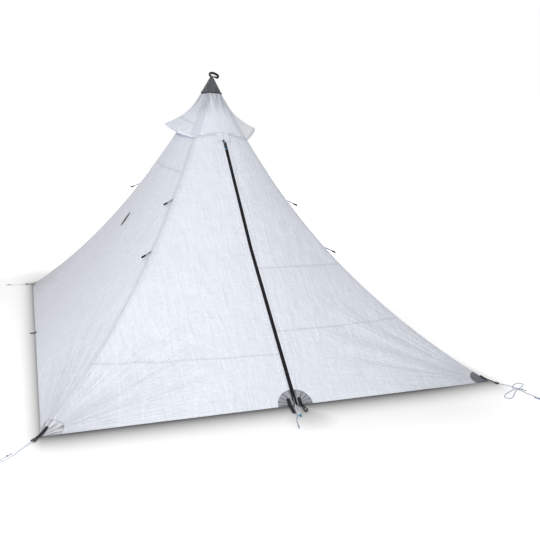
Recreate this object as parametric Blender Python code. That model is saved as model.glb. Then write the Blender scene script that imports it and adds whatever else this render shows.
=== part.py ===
"""Floorless pyramid tent on one centre pole, pitched, with its zip door closed.

Metres, +Z up. The origin is on the ground at the middle of the pole's foot.
The zip door is in the short side that faces -Y.
"""
import math

import bmesh
import bpy
from mathutils import Vector

# Canopy outline. The sags are how far each ridge hangs under a straight line.
floor_width = 2.12
floor_depth = 2.90
peak_height = 1.56
front_ridge_sag = 0.250
back_ridge_sag = 0.167
sag_skew = 0.188
side_billow = 0.060
back_billow = 0.080
fabric = 0.0012
seam_gap = 0.0004

# Fabric pull lines at the corners
fold_depth = 0.006
fold_start = 0.12
fold_reach = 0.75
folds_per_corner = 9

# Yoke, peak cap and vents. The drops are measured down from the peak.
yoke_drop = 0.384
yoke_rise = 0.030
yoke_billow = 0.029
panel_top_drop = 0.065
cap_drop = 0.092
cap_wall = 0.0016
cap_top_width = 0.016
layer_gap = 0.0009
cap_neck_drop = 0.036
cap_tip_width = 0.0112
cap_tip_bevel = 0.006
cap_headroom = 0.004
hood_reach = 0.094
hood_lift = 0.059
hood_edge_curve = 1.2
hood_reach_curve = 2.6
hood_lift_curve = 1.75
brim_diameter = 0.005
brim_gap = 0.0006
brim_inset = 0.012
mesh_wall = 0.0008
mesh_inset = 0.005
mesh_lap = 0.008
seat_depth = 0.120
seat_wall = 0.0020
seat_plate = 0.006

# Door and zip
door_sag = 0.048
fold_top_width = 0.030
fold_foot_width = 0.800
hinge_standoff = 0.0018
hinge_gap = 0.0006
zip_band_width = 0.0074
zip_band_height = 0.0026
zip_middle_gap = 0.0006
slider_length = 0.016
slider_width = 0.0124
slider_plate = 0.0022
slider_top_inset = 0.062
slider_foot_inset = 0.030
running_gap = 0.0004
bridge_height = 0.0058
bridge_bar = 0.0016
slider_post_width = 0.0020
slider_post_length = 0.0034
slider_post_sink = 0.0002
pull_eye_wall = 0.0011
pull_length = 0.032
pull_width = 0.0046
pull_thickness = 0.0014

# Reinforcement and webbing
corner_patch_radius = 0.086
door_patch_radius = 0.074
patch_wall = 0.0008
webbing_width = 0.015
webbing = 0.0016
strap_gap = 0.0004
corner_strap_reach = 0.048
corner_strap_tail = 0.034
strap_ride_height = 0.0070
adjuster_length = 0.020
adjuster_width = 0.018
adjuster_wall = 0.0050
adjuster_bar = 0.0045
door_strap_rise = 0.034
left_strap_place = 0.030
left_strap_tail = 0.084
left_strap_lean = 0.014
right_strap_place = 0.022
right_strap_tail = 0.040
right_strap_lean = 0.0
door_strap_height = 0.0042
hook_wire = 0.0042
hook_length = 0.042
hook_tip = 0.019
hook_opening = 0.014
hook_lean = 0.012
hem_tab_rise = 0.018
hem_tab_tail = 0.028
hem_tab_width = 0.018
strap_bend = 0.004

# Cords
cord_step = 2.8
floor_gap = 0.0003
line_tuck = 0.004
line_diameter = 0.0028
tieout_diameter = 0.0026
tieout_length = 0.055
tieout_spread = 0.009
tieout_gap = 0.0004
tieout_sides = 1
upper_tieout_height = 0.830
lower_tieout_height = 0.580
far_tieout_height = 0.870
panel_tieout_height = 0.630
panel_patch_length = 0.100
panel_patch_width = 0.026
panel_patch_end = 0.004
panel_patch_offset = 0.07

# Pole
pole_radius = 0.0100
pole_bore = 0.0085
pole_upper_foot = 0.640
inner_pole_radius = 0.0080
inner_pole_bore = 0.0066
inner_pole_overlap = 0.160
pole_end_wall = 0.012
pole_foot_radius = 0.026
pole_foot_height = 0.030
pole_foot_rim = 0.006
pole_foot_shoulder = 0.012
pole_foot_shoulder_radius = 0.016
pole_foot_neck = 0.003
spigot_length = 0.030
fit_gap = 0.0003
clamp_wall = 0.0045
clamp_height = 0.036
clamp_lug = 0.009
clamp_lug_sink = 0.002
lever_length = 0.034
lever_thickness = 0.0034
lever_pin_radius = 0.0016

half_width = floor_width / 2
half_depth = floor_depth / 2
yoke_height = peak_height - yoke_drop
cap_height = peak_height - cap_drop
cap_neck_height = peak_height - cap_neck_drop
panel_top_height = peak_height - panel_top_drop
seat_height = panel_top_height - seat_depth

# Materials: colour, roughness, metallic
finishes = {
    "canopy_fabric": ((0.80, 0.83, 0.84), 0.55, 0.0),
    "vent_netting": ((0.62, 0.64, 0.65), 0.80, 0.0),
    "grey_fabric": ((0.16, 0.17, 0.18), 0.70, 0.0),
    "black_webbing": ((0.025, 0.026, 0.028), 0.75, 0.0),
    "black_plastic": ((0.020, 0.020, 0.022), 0.45, 0.0),
    "zip_black": ((0.018, 0.018, 0.020), 0.50, 0.0),
    "grey_metal": ((0.42, 0.43, 0.44), 0.35, 1.0),
    "pale_line": ((0.70, 0.78, 0.85), 0.70, 0.0),
    "pole_carbon": ((0.035, 0.036, 0.040), 0.35, 0.2),
    "foot_rubber": ((0.030, 0.030, 0.030), 0.85, 0.0),
}


def finish_material(name):
    """Principled material from the finishes above, made once."""
    made = bpy.data.materials.get(name)
    if made:
        return made
    colour, roughness, metallic = finishes[name]
    material = bpy.data.materials.new(name)
    material.use_nodes = True
    shader = material.node_tree.nodes["Principled BSDF"]
    shader.inputs["Base Color"].default_value = (*colour, 1.0)
    shader.inputs["Roughness"].default_value = roughness
    shader.inputs["Metallic"].default_value = metallic
    return material


def place(name, mesh, finish, smooth=None):
    """Link a mesh as one named sub-part."""
    part = bpy.data.objects.new(name, mesh)
    bpy.context.scene.collection.objects.link(part)
    mesh.materials.append(finish_material(finish))
    if smooth is not None:
        mesh.shade_smooth()
        mesh.set_sharp_from_angle(angle=math.radians(smooth))
    return part


def from_bmesh(name, bm, finish, smooth=None, outward=True):
    """Turn a bmesh into a named sub-part."""
    if outward:
        bmesh.ops.recalc_face_normals(bm, faces=bm.faces)
    mesh = bpy.data.meshes.new(name)
    bm.to_mesh(mesh)
    bm.free()
    return place(name, mesh, finish, smooth)


def mix(a, b, amount):
    """Point or number between a and b."""
    return a + (b - a) * amount


def bisect(function, low, high):
    """Where a falling function crosses zero."""
    for _ in range(50):
        middle = (low + high) / 2
        if function(middle) > 0:
            low = middle
        else:
            high = middle
    return (low + high) / 2


# Canopy surface. A place on it is a side, an offset across the side from -1
# to 1, and a share of the way from the peak (0) to the hem (1).

def ridge_height(share, sag):
    """Height of a sagging ridge."""
    drop = 4 * sag * share * (1 - share) * (1 + sag_skew * (1 - 2 * share))
    return peak_height * (1 - share) - drop


def share_at(height, sag=front_ridge_sag):
    """Share at which a ridge has this height."""
    return bisect(lambda share: ridge_height(share, sag) - height, 0.0, 1.0)


yoke_share = share_at(yoke_height)
zip_top = Vector((0, -(half_depth * yoke_share + yoke_billow), yoke_height + yoke_rise))
zip_foot = Vector((0, -half_depth, 0))
zip_middle = (zip_top + zip_foot) / 2 + Vector((0, door_sag, 0))


def zip_line_y(height):
    """The zip lies on two straight runs that meet half way."""
    if height > zip_middle.z:
        amount = (zip_top.z - height) / (zip_top.z - zip_middle.z)
        return mix(zip_top.y, zip_middle.y, amount)
    amount = (zip_middle.z - height) / (zip_middle.z - zip_foot.z)
    return mix(zip_middle.y, zip_foot.y, amount)


def front_rise(share):
    """How much higher the front's middle is than its ridges."""
    if share < yoke_share:
        return yoke_rise * share / yoke_share
    return yoke_rise * (1 - share) / (1 - yoke_share)


def front_billow(share):
    """How far the front's middle stands out from its ridges."""
    if share < yoke_share:
        return yoke_billow * share / yoke_share
    middle_height = ridge_height(share, front_ridge_sag) + front_rise(share)
    return -zip_line_y(middle_height) - half_depth * share


def above_zip_middle(share):
    """Height of the front's middle over the point where the zip's runs meet."""
    return ridge_height(share, front_ridge_sag) + front_rise(share) - zip_middle.z


zip_middle_share = bisect(above_zip_middle, yoke_share, 1.0)


def pull_fold(side, offset, share):
    """Height of the radiating pull lines near the hem corners."""
    across = half_width if side in ("front", "back") else half_depth
    along_hem = (1 - abs(offset)) * across * share
    up_ridge = (1 - share) * math.hypot(half_width, half_depth)
    radius = math.hypot(along_hem, up_ridge)
    if radius < fold_start or radius > fold_reach:
        return 0.0
    angle = math.atan2(up_ridge, along_hem) / (math.pi / 2)
    window = math.sin(math.pi * (radius - fold_start) / (fold_reach - fold_start))
    window *= math.sin(math.pi * angle)
    return fold_depth * window * math.cos(math.pi * folds_per_corner * angle)


def bare_surface(side, offset, share):
    """Inner face of the canopy, without its pull lines."""
    bulge = 1 - offset * offset
    x = half_width * share
    y = half_depth * share
    low = ridge_height(share, front_ridge_sag)
    high = ridge_height(share, back_ridge_sag)
    if side == "front":
        return Vector((x * offset, -y - front_billow(share) * bulge, low + front_rise(share) * bulge))
    if side == "back":
        return Vector((x * offset, y + 4 * back_billow * share * (1 - share) * bulge, high))
    sign = 1 if side == "right" else -1
    out = x + 4 * side_billow * share * (1 - share) * bulge
    return Vector((sign * out, y * offset, mix(low, high, (offset + 1) / 2)))


def surface_normal(side, offset, share):
    """Outward normal of the canopy."""
    step = 0.002
    right, left = min(offset + step, 1), max(offset - step, -1)
    across = bare_surface(side, right, share) - bare_surface(side, left, share)
    high, low = max(share - step, 0.01), min(share + step, 1)
    down = bare_surface(side, offset, low) - bare_surface(side, offset, high)
    normal = across.cross(down).normalized()
    return normal if normal.z > 0 else -normal


def surface(side, offset, share, lift=0.0, folds=False):
    """Place on the canopy, lifted off its inner face."""
    point = bare_surface(side, offset, share)
    if folds:
        lift = lift + pull_fold(side, offset, share)
    if lift:
        point = point + surface_normal(side, offset, share) * lift
    return point


def ridge(x_sign, y_sign, share, lift=0.0):
    """Place on a ridge, lifted along the mitre of its two sides."""
    end = "front" if y_sign < 0 else "back"
    flank = "right" if x_sign > 0 else "left"
    first = surface_normal(end, x_sign, share)
    second = surface_normal(flank, y_sign, share)
    point = bare_surface(end, x_sign, share)
    return point + (first + second) / (1 + first.dot(second)) * lift


def spaced(low, high, steps):
    """Evenly spaced values with both ends."""
    return [mix(low, high, i / steps) for i in range(steps + 1)]


cap_share = share_at(cap_height)
upper_levels = [share_at(panel_top_height)] + spaced(cap_share, yoke_share, 7)
lower_levels = spaced(yoke_share, zip_middle_share, 9) + spaced(zip_middle_share, 1.0, 11)[1:]
side_columns = 18
back_columns = 14
yoke_columns = 10
strip_columns = 4
door_columns = 11
hood_columns = 16


def trimmed(levels, first=None, last=None):
    """Same levels with the end rows drawn in for a seam."""
    values = list(levels)
    run = math.hypot(half_depth, peak_height)
    if first:
        values[0] += first / run
    if last:
        values[-1] -= last / run
    return values


def sheet(name, rows, finish, wall, smooth=40):
    """Grid of points thickened outward into one closed sheet."""
    bm = bmesh.new()
    grid = [[bm.verts.new(point) for point in row] for row in rows]
    for upper, lower in zip(grid, grid[1:]):
        for a, b, c, d in zip(upper, upper[1:], lower[1:], lower):
            bm.faces.new((a, b, c, d))
    return thicken(name, bm, finish, wall, smooth)


def thicken(name, bm, finish, wall, smooth=40):
    """Turn an open sheet's faces away from the tent's middle and thicken it outward."""
    bm.normal_update()
    middle = Vector((0, 0, peak_height / 6))
    facing = 0
    for face in bm.faces:
        facing += (face.calc_center_median() - middle).dot(face.normal) * face.calc_area()
    if facing < 0:
        bmesh.ops.reverse_faces(bm, faces=bm.faces)
    part = from_bmesh(name, bm, finish, smooth, outward=False)
    solidify = part.modifiers.new("Thickness", "SOLIDIFY")
    solidify.thickness = wall
    solidify.offset = 1.0
    solidify.use_even_offset = True
    return part


def edge_offset(share, across, inset):
    """Offset of a seam edge that lies this far in from the ridge."""
    return 1 - inset / (across * share)


def seam_edge(sign, across):
    """Offset, at each share, of a panel's edge beside the ridge's seam."""
    def offset(share):
        return sign * edge_offset(share, across, seam_gap / 2)

    return offset


def fold_offset(share):
    """Offset of the line that a door folds back along."""
    height = ridge_height(share, front_ridge_sag)
    x = mix(fold_top_width, fold_foot_width, (yoke_height - height) / yoke_height)
    return x / (half_width * share)


door_edge_inset = zip_middle_gap / 2 + zip_band_width + fit_gap


def fold_edge(sign, shift):
    """Offset, at each share, of a line this far outside the door's fold."""
    def offset(share):
        return sign * (fold_offset(share) + shift / (half_width * share))

    return offset


def zip_edge(sign):
    """Offset, at each share, of a door's free edge, beside its zip band."""
    def offset(share):
        return sign * door_edge_inset / (half_width * share)

    return offset


def panel_rows(side, levels, start, stop, columns):
    """Rows of points between two edges given as offsets."""
    rows = []
    for share in levels:
        offsets = spaced(start(share), stop(share), columns)
        rows.append([surface(side, offset, share, folds=True) for offset in offsets])
    return rows


def side_panels():
    """Long sides below the vents, and the back from hem to peak."""
    levels = trimmed(lower_levels, first=seam_gap)
    edges = seam_edge(-1, half_depth), seam_edge(1, half_depth)
    for side in ("left", "right"):
        rows = panel_rows(side, levels, *edges, side_columns)
        sheet(side + "_panel", rows, "canopy_fabric", fabric)
    levels = upper_levels[:-1] + lower_levels
    edges = seam_edge(-1, half_width), seam_edge(1, half_width)
    sheet("back_panel", panel_rows("back", levels, *edges, back_columns), "canopy_fabric", fabric)


def front_panels():
    """Yoke over the door, the fixed strips beside it and the two door halves."""
    edges = seam_edge(-1, half_width), seam_edge(1, half_width)
    rows = panel_rows("front", trimmed(upper_levels, last=seam_gap), *edges, yoke_columns)
    sheet("front_yoke", rows, "canopy_fabric", fabric)
    levels = trimmed(lower_levels, first=seam_gap)
    for sign, name in ((-1, "left"), (1, "right")):
        edges = seam_edge(sign, half_width), fold_edge(sign, hinge_gap / 2)
        rows = panel_rows("front", levels, *edges, strip_columns)
        sheet("front_strip_" + name, rows, "canopy_fabric", fabric)
        edges = fold_edge(sign, -hinge_gap / 2), zip_edge(sign)
        rows = panel_rows("front", levels, *edges, door_columns)
        door = sheet("door_" + name, rows, "canopy_fabric", fabric)
        move_origin(door, door_hinge(sign)[0])


def door_hinge(sign):
    """Foot and top of the straight line that a door half turns about."""
    points = []
    for share in (lower_levels[-1], lower_levels[0]):
        points.append(surface("front", sign * fold_offset(share), share, fabric + hinge_standoff))
    return points


def move_origin(part, origin):
    """Put an object's origin on its joint without moving its shape."""
    for vertex in part.data.vertices:
        vertex.co -= origin
    part.location = origin


def hood_point(side, offset, share, lift=0.0):
    """Vent hood: the side's own surface, flared out and up to a pointed brim."""
    amount = max(0, (share - cap_share) / (yoke_share - cap_share))
    spread = 1 - abs(offset) ** hood_edge_curve
    out = hood_reach * spread * amount ** hood_reach_curve
    rise = hood_lift * spread * amount ** hood_lift_curve
    sign = 1 if side == "right" else -1
    return surface(side, offset, share, lift) + Vector((sign * out, 0, rise))


def vents():
    """Hoods flared over the side vents, their brim wires and the netting behind."""
    for side in ("left", "right"):
        rows = []
        for share in upper_levels:
            end = edge_offset(share, half_depth, seam_gap / 2)
            rows.append([hood_point(side, offset, share) for offset in spaced(-end, end, hood_columns)])
        sheet("vent_hood_" + side, rows, "canopy_fabric", fabric)
        brim(side)
        netting(side)


def brim(side):
    """Springy wire along the hood's lower edge."""
    drop = Vector((0, 0, brim_diameter / 2 + fabric / 2 + brim_gap))
    end = edge_offset(yoke_share, half_depth, brim_inset)
    offsets = spaced(-end, end, 24)
    points = [hood_point(side, offset, yoke_share, fabric / 2) - drop for offset in offsets]
    tube("vent_brim_" + side, points, brim_diameter, "grey_fabric")


def netting(side):
    """Flat netting across the vent opening, under the hood."""
    rows = []
    run = math.hypot(half_width, peak_height)
    top = share_at(seat_height) + seam_gap / run
    for share in spaced(top, yoke_share + mesh_lap / run, 5):
        end = edge_offset(share, half_depth, mesh_inset)
        offsets = spaced(-end, end, 6)
        rows.append([surface(side, offset, share, -seam_gap - mesh_wall) for offset in offsets])
    sheet("vent_netting_" + side, rows, "vent_netting", mesh_wall)


def peak_ring(share, lift):
    """Closed ring of points around all four sides."""
    ring = []
    for side, corner in (("front", (-1, -1)), ("right", (1, -1)), ("back", (1, 1)), ("left", (-1, 1))):
        start = corner[0] if side in ("front", "back") else corner[1]
        ring.append(ridge(*corner, share, lift))
        ring += [surface(side, offset, share, lift) for offset in spaced(start, -start, 4)[1:-1]]
    return ring


def level_ring(share, lift, height):
    """Ring around all four sides, flattened to one height."""
    return [Vector((point.x, point.y, height)) for point in peak_ring(share, lift)]


def loft(name, rings, finish, smooth=40):
    """Closed solid through rings of equal count, capped at both ends."""
    bm = bmesh.new()
    loops = [[bm.verts.new(point) for point in ring] for ring in rings]
    for upper, lower in zip(loops, loops[1:]):
        count = len(upper)
        for i in range(count):
            j = (i + 1) % count
            bm.faces.new((upper[i], upper[j], lower[j], lower[i]))
    bm.faces.new(loops[0])
    bm.faces.new(loops[-1])
    return from_bmesh(name, bm, finish, smooth)


def peak():
    """Dark cap over the peak, the loop on it and the pole's seat under it."""
    clear = fabric + layer_gap
    levels = spaced(cap_share, share_at(cap_neck_height), 4)
    rings = [round_ring(cap_tip_width / 2, peak_height)]
    rings.append(round_ring(cap_top_width / 2, peak_height - cap_tip_bevel))
    for share in reversed(levels):
        rings.append(peak_ring(share, clear + cap_wall))
    for share in levels:
        rings.append(peak_ring(share, clear))
    rings.append(round_ring(cap_top_width / 2, cap_neck_height + cap_headroom))
    loft("peak_cap", rings, "grey_fabric")
    peak_loop()
    seat_levels = spaced(share_at(panel_top_height), share_at(seat_height), 4)
    rings = [peak_ring(share, -layer_gap) for share in seat_levels]
    rings += [peak_ring(share, -layer_gap - seat_wall) for share in reversed(seat_levels)]
    ceiling = pole_top() + fit_gap
    rings[0] = level_ring(seat_levels[0], -layer_gap, ceiling + seat_plate)
    rings[-1] = level_ring(seat_levels[0], -layer_gap - seat_wall, ceiling)
    loft("pole_seat", rings, "grey_fabric")


def round_ring(radius, height):
    """Level circle that starts at the front left corner, like the peak's rings."""
    angles = [math.radians(225) + math.tau * i / 16 for i in range(16)]
    return [Vector((radius * math.cos(a), radius * math.sin(a), height)) for a in angles]


def pole_top():
    """Height of the pole's upper end."""
    return panel_top_height - seat_plate - fit_gap


def smooth_path(knots, spacing, closed=False):
    """Evenly stepped points on a smooth curve through chosen points."""
    knots = [Vector(k) for k in knots]
    count = len(knots)
    dense = []
    spans = count if closed else count - 1
    for i in range(spans):
        p1, p2 = knots[i], knots[(i + 1) % count]
        p0 = knots[i - 1] if closed or i > 0 else p1 * 2 - p2
        p3 = knots[(i + 2) % count] if closed or i + 2 < count else p2 * 2 - p1
        for step in range(24):
            t = step / 24
            a = 2 * p1 + (p2 - p0) * t
            b = (2 * p0 - 5 * p1 + 4 * p2 - p3) * t * t
            c = (3 * p1 - p0 - 3 * p2 + p3) * t * t * t
            dense.append((a + b + c) / 2)
    dense.append(knots[0] if closed else knots[-1])
    lengths = [0.0]
    for a, b in zip(dense, dense[1:]):
        lengths.append(lengths[-1] + (b - a).length)
    steps = max(2, round(lengths[-1] / spacing))
    points = []
    index = 0
    for i in range(steps + 1):
        target = lengths[-1] * i / steps
        while index < len(lengths) - 2 and lengths[index + 1] < target:
            index += 1
        span = lengths[index + 1] - lengths[index]
        amount = (target - lengths[index]) / span if span else 0
        points.append(mix(dense[index], dense[index + 1], min(amount, 1)))
    return points


def tube(name, points, diameter, finish, sides=2, origin=None):
    """Round cord or wire along a polyline, with closed ends."""
    curve = bpy.data.curves.new(name, "CURVE")
    curve.dimensions = "3D"
    curve.bevel_depth = diameter / 2
    curve.bevel_resolution = sides
    curve.use_fill_caps = True
    spline = curve.splines.new("POLY")
    spline.points.add(len(points) - 1)
    origin = origin or Vector()
    for slot, point in zip(spline.points, points):
        slot.co = (*(point - origin), 1)
    curve.materials.append(finish_material(finish))
    part = bpy.data.objects.new(name, curve)
    part.location = origin
    bpy.context.scene.collection.objects.link(part)
    return part


def ribbon(name, path, across, width, thickness, finish, closed=False):
    """Flat webbing along a path."""
    across = Vector(across).normalized()
    bm = bmesh.new()
    loops = []
    count = len(path)
    for i, point in enumerate(path):
        before = path[i - 1] if closed or i > 0 else point
        after = path[(i + 1) % count] if closed or i + 1 < count else point
        up = (after - before).normalized().cross(across).normalized()
        side = across * width / 2
        rise = up * thickness / 2
        corners = (point - side - rise, point + side - rise, point + side + rise, point - side + rise)
        loops.append([bm.verts.new(corner) for corner in corners])
    pairs = list(zip(loops, loops[1:]))
    if closed:
        pairs.append((loops[-1], loops[0]))
    for first, second in pairs:
        for i in range(4):
            j = (i + 1) % 4
            bm.faces.new((first[i], first[j], second[j], second[i]))
    if not closed:
        bm.faces.new(loops[0])
        bm.faces.new(loops[-1])
    return from_bmesh(name, bm, finish, smooth=40)


def peak_loop():
    """Webbing loop that stands on the peak and leans to the right."""
    base = peak_height + webbing / 2 + fit_gap
    knots = ((0.000, base), (-0.010, base + 0.007), (-0.008, base + 0.017), (0.008, base + 0.021),
             (0.030, base + 0.014), (0.042, base + 0.004), (0.036, base - 0.006), (0.018, base + 0.0012))
    path = smooth_path([(x, 0, z) for x, z in knots], 0.005, closed=True)[:-1]
    ribbon("peak_loop", path, (0, 1, 0), 0.012, webbing, "black_webbing", closed=True)


def corner_fan(x_sign, y_sign, radius, lift):
    """Points of a patch that wraps a hem corner, from one hem to the other."""
    end = "front" if y_sign < 0 else "back"
    flank = "right" if x_sign > 0 else "left"
    run = ridge_run(x_sign, y_sign)
    half = 6
    rings = []
    for size in patch_radii(radius):
        ring = []
        for i in range(2 * half + 1):
            angle = math.pi / 2 * i / half
            along = size * abs(math.cos(angle))
            share = 1 - size * math.sin(angle) / run
            if i < half:
                offset = x_sign * edge_offset(share, half_width, along)
                ring.append(surface(end, offset, share, lift))
            elif i == half:
                ring.append(ridge(x_sign, y_sign, share, lift))
            else:
                offset = y_sign * edge_offset(share, half_depth, along)
                ring.append(surface(flank, offset, share, lift))
        rings.append(ring)
    return ridge(x_sign, y_sign, 1.0, lift), rings


def patch_radii(radius):
    """Radii of a patch's rings of points."""
    return [radius * i / 3 for i in (1, 2, 3)]


def ridge_run(x_sign, y_sign):
    """Length of ridge for each unit of share, at the hem."""
    return (ridge(x_sign, y_sign, 0.95) - ridge(x_sign, y_sign, 1.0)).length / 0.05


def front_run():
    """Length of the front's middle line for each unit of share, at the hem."""
    return (surface("front", 0, 0.95) - surface("front", 0, 1.0)).length / 0.05


def patch(name, centre, rings, finish, wall):
    """Fan-shaped patch thickened outward."""
    bm = bmesh.new()
    middle = bm.verts.new(centre)
    loops = [[bm.verts.new(point) for point in ring] for ring in rings]
    for a, b in zip(loops[0], loops[0][1:]):
        bm.faces.new((middle, b, a))
    for inner, outer in zip(loops, loops[1:]):
        for a, b, c, d in zip(inner, inner[1:], outer[1:], outer):
            bm.faces.new((a, b, c, d))
    return thicken(name, bm, finish, wall)


corners = {
    "front_left": (-1, -1, (-0.53, -0.85)),
    "front_right": (1, -1, (0.30, -0.95)),
    "back_left": (-1, 1, (-0.97, 0.22)),
    "back_right": (1, 1, (0.60, 0.80)),
}


def corner_parts():
    """Patch, webbing strap and line adjuster at each hem corner."""
    for name, (x_sign, y_sign, toward) in corners.items():
        lift = fabric + layer_gap
        centre, rings = corner_fan(x_sign, y_sign, corner_patch_radius, lift)
        patch("corner_patch_" + name, centre, rings, "grey_fabric", patch_wall)
        out = Vector((*toward, 0)).normalized()
        across = Vector((-out.y, out.x, 0))
        run = ridge_run(x_sign, y_sign)
        above = lift + patch_wall + strap_gap + webbing / 2
        start = ridge(x_sign, y_sign, 1 - corner_strap_reach / run, above)
        half_way = ridge(x_sign, y_sign, 1 - corner_strap_reach / 2 / run, above)
        tip = ridge(x_sign, y_sign, 1, above)
        bend = tip + Vector((0, 0, strap_bend)) + out * strap_bend / 2
        end = Vector((tip.x, tip.y, strap_ride_height)) + out * corner_strap_tail
        path = [start, half_way, bend, mix(bend, end, 0.35), mix(bend, end, 0.7), end]
        ribbon("corner_strap_" + name, path, across, webbing_width, webbing, "black_webbing")
        adjuster("line_adjuster_" + name, end + out * fit_gap, out)


def adjuster(name, start, out):
    """Moulded ladder lock: a plate with two slots."""
    across = Vector((-out.y, out.x, 0))
    slot = (adjuster_length - 3 * adjuster_bar) / 2
    along = [0]
    for step in (adjuster_bar, slot, adjuster_bar, slot, adjuster_bar):
        along.append(along[-1] + step)
    half = adjuster_width / 2
    rows = (-half, -half + adjuster_bar, half - adjuster_bar, half)
    bm = bmesh.new()
    low = start - Vector((0, 0, adjuster_wall / 2))
    grid = [[bm.verts.new(low + out * a + across * r) for r in rows] for a in along]
    for i, (first, second) in enumerate(zip(grid, grid[1:])):
        for j in range(3):
            if i in (1, 3) and j == 1:
                continue
            bm.faces.new((first[j], first[j + 1], second[j + 1], second[j]))
    faces = bm.faces[:]
    raised = bmesh.ops.extrude_face_region(bm, geom=faces)
    up = [v for v in raised["geom"] if isinstance(v, bmesh.types.BMVert)]
    bmesh.ops.translate(bm, verts=up, vec=(0, 0, adjuster_wall))
    from_bmesh(name, bm, "black_plastic")


def door_patches():
    """Half of a round patch on each side of the zip's foot."""
    run = front_run()
    lift = fabric + layer_gap
    for sign, name in ((-1, "left"), (1, "right")):
        rings = []
        for size in patch_radii(door_patch_radius):
            ring = []
            for i in range(8):
                angle = math.pi / 2 * i / 7
                share = 1 - size * math.sin(angle) / run
                x = door_edge_inset + size * math.cos(angle)
                ring.append(surface("front", sign * x / (half_width * share), share, lift))
            rings.append(ring)
        centre = surface("front", sign * door_edge_inset / half_width, 1.0, lift)
        part = patch("door_patch_" + name, centre, rings, "grey_fabric", patch_wall)
        move_origin(part, door_hinge(sign)[0])


def strap_end(sign):
    """Middle of the end of a door strap, out on the ground."""
    if sign < 0:
        return Vector((-left_strap_place - left_strap_lean, -half_depth - left_strap_tail, door_strap_height))
    return Vector((right_strap_place + right_strap_lean, -half_depth - right_strap_tail, door_strap_height))


def door_straps():
    """Webbing tails below the zip's foot, and the hook on the right one."""
    share = 1 - door_strap_rise / front_run()
    above = fabric + layer_gap + patch_wall + strap_gap + webbing / 2
    for sign, name, centre in ((-1, "left", left_strap_place), (1, "right", right_strap_place)):
        start = surface("front", sign * centre / (half_width * share), share, above)
        edge = surface("front", sign * centre / half_width, 1.0, above)
        bend = edge + Vector((0, -strap_bend, strap_bend / 4))
        end = strap_end(sign)
        path = [start, mix(start, edge, 0.6), bend, mix(bend, end, 0.35), mix(bend, end, 0.7), end]
        part = ribbon("door_strap_" + name, path, (1, 0, 0), webbing_width, webbing, "black_webbing")
        move_origin(part, door_hinge(sign)[0])
    hook()


def hook_pivot():
    """Middle of the hook's bar, on which it turns at the strap's end."""
    return strap_end(1) + Vector((0, -fit_gap - hook_wire / 2, hook_wire / 5))


def hook():
    """Wire hook that turns on a bar at the strap's end."""
    pivot = hook_pivot()
    half = hook_opening / 2
    bow = hook_wire / 4
    knots = (
        (half, 0, 0), (0, 0, 0), (-half, -bow, 0), (-half, -hook_length * 0.3, 0),
        (-half * 0.8, -hook_length * 0.65, 0), (-half * 0.7, -hook_length + bow, bow),
        (0, -hook_length - hook_wire, 3 * bow), (half, -hook_length, 5 * bow),
        (half + bow, -hook_length + hook_tip, 6 * bow),
    )
    lean = hook_lean / hook_length
    knots = [Vector((x + min(y, 0) * lean, y, z)) for x, y, z in knots]
    path = smooth_path([pivot + knot for knot in knots], hook_wire)
    tube("door_hook", path, hook_wire, "black_plastic", origin=pivot)


def zip_frame(start, stop):
    """Direction along a straight run of zip and its outward normal."""
    along = (stop - start).normalized()
    outward = Vector((0, along.z, -along.y))
    return along, outward if outward.z > 0 else -outward


def zip_bands():
    """One half of the zip on each door: tape and coil in one band."""
    run_top, out_top = zip_frame(zip_top, zip_middle)
    run_foot, out_foot = zip_frame(zip_middle, zip_foot)
    out_middle = (out_top + out_foot) / (1 + out_top.dot(out_foot))
    head = zip_top + run_top * seam_gap
    stations = ((head, out_top), (zip_middle, out_middle), (zip_foot, out_foot))
    for sign, name in ((-1, "left"), (1, "right")):
        near = sign * zip_middle_gap / 2
        far = sign * (zip_middle_gap / 2 + zip_band_width)
        bm = bmesh.new()
        loops = []
        for point, out in stations:
            loop = []
            for x, rise in ((near, 0), (far, 0), (far, zip_band_height), (near, zip_band_height)):
                loop.append(bm.verts.new(point + out * rise + Vector((x, 0, 0))))
            loops.append(loop)
        for first, second in zip(loops, loops[1:]):
            for i in range(4):
                j = (i + 1) % 4
                bm.faces.new((first[i], first[j], second[j], second[i]))
        bm.faces.new(loops[0])
        bm.faces.new(loops[-1])
        part = from_bmesh("zip_band_" + name, bm, "zip_black")
        move_origin(part, door_hinge(sign)[0])


def box_object(name, centre, axes, size, finish="black_plastic"):
    """Plain box given by its centre, three directions and its size along each."""
    bm = bmesh.new()
    for vertex in bmesh.ops.create_cube(bm, size=1)["verts"]:
        local = vertex.co.copy()
        steps = [axis * local[i] * size[i] for i, axis in enumerate(axes)]
        vertex.co = centre + steps[0] + steps[1] + steps[2]
    return from_bmesh(name, bm, finish)


def rod_object(name, centre, direction, radius, length, finish="black_plastic"):
    """Plain round rod given by its middle and direction."""
    bm = bmesh.new()
    bmesh.ops.create_cone(bm, cap_ends=True, segments=16, radius1=radius, radius2=radius, depth=length)
    turn = direction.to_track_quat("Z", "Y").to_matrix().to_4x4()
    bmesh.ops.transform(bm, matrix=turn, verts=bm.verts)
    bmesh.ops.translate(bm, verts=bm.verts, vec=centre)
    return from_bmesh(name, bm, finish)


def combine(part, other, operation):
    """Boolean with a guide object that stays out of the model."""
    modifier = part.modifiers.new(operation.title(), "BOOLEAN")
    modifier.operation = operation
    modifier.solver = "EXACT"
    modifier.object = other
    other.hide_render = True
    other.display_type = "WIRE"


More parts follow.
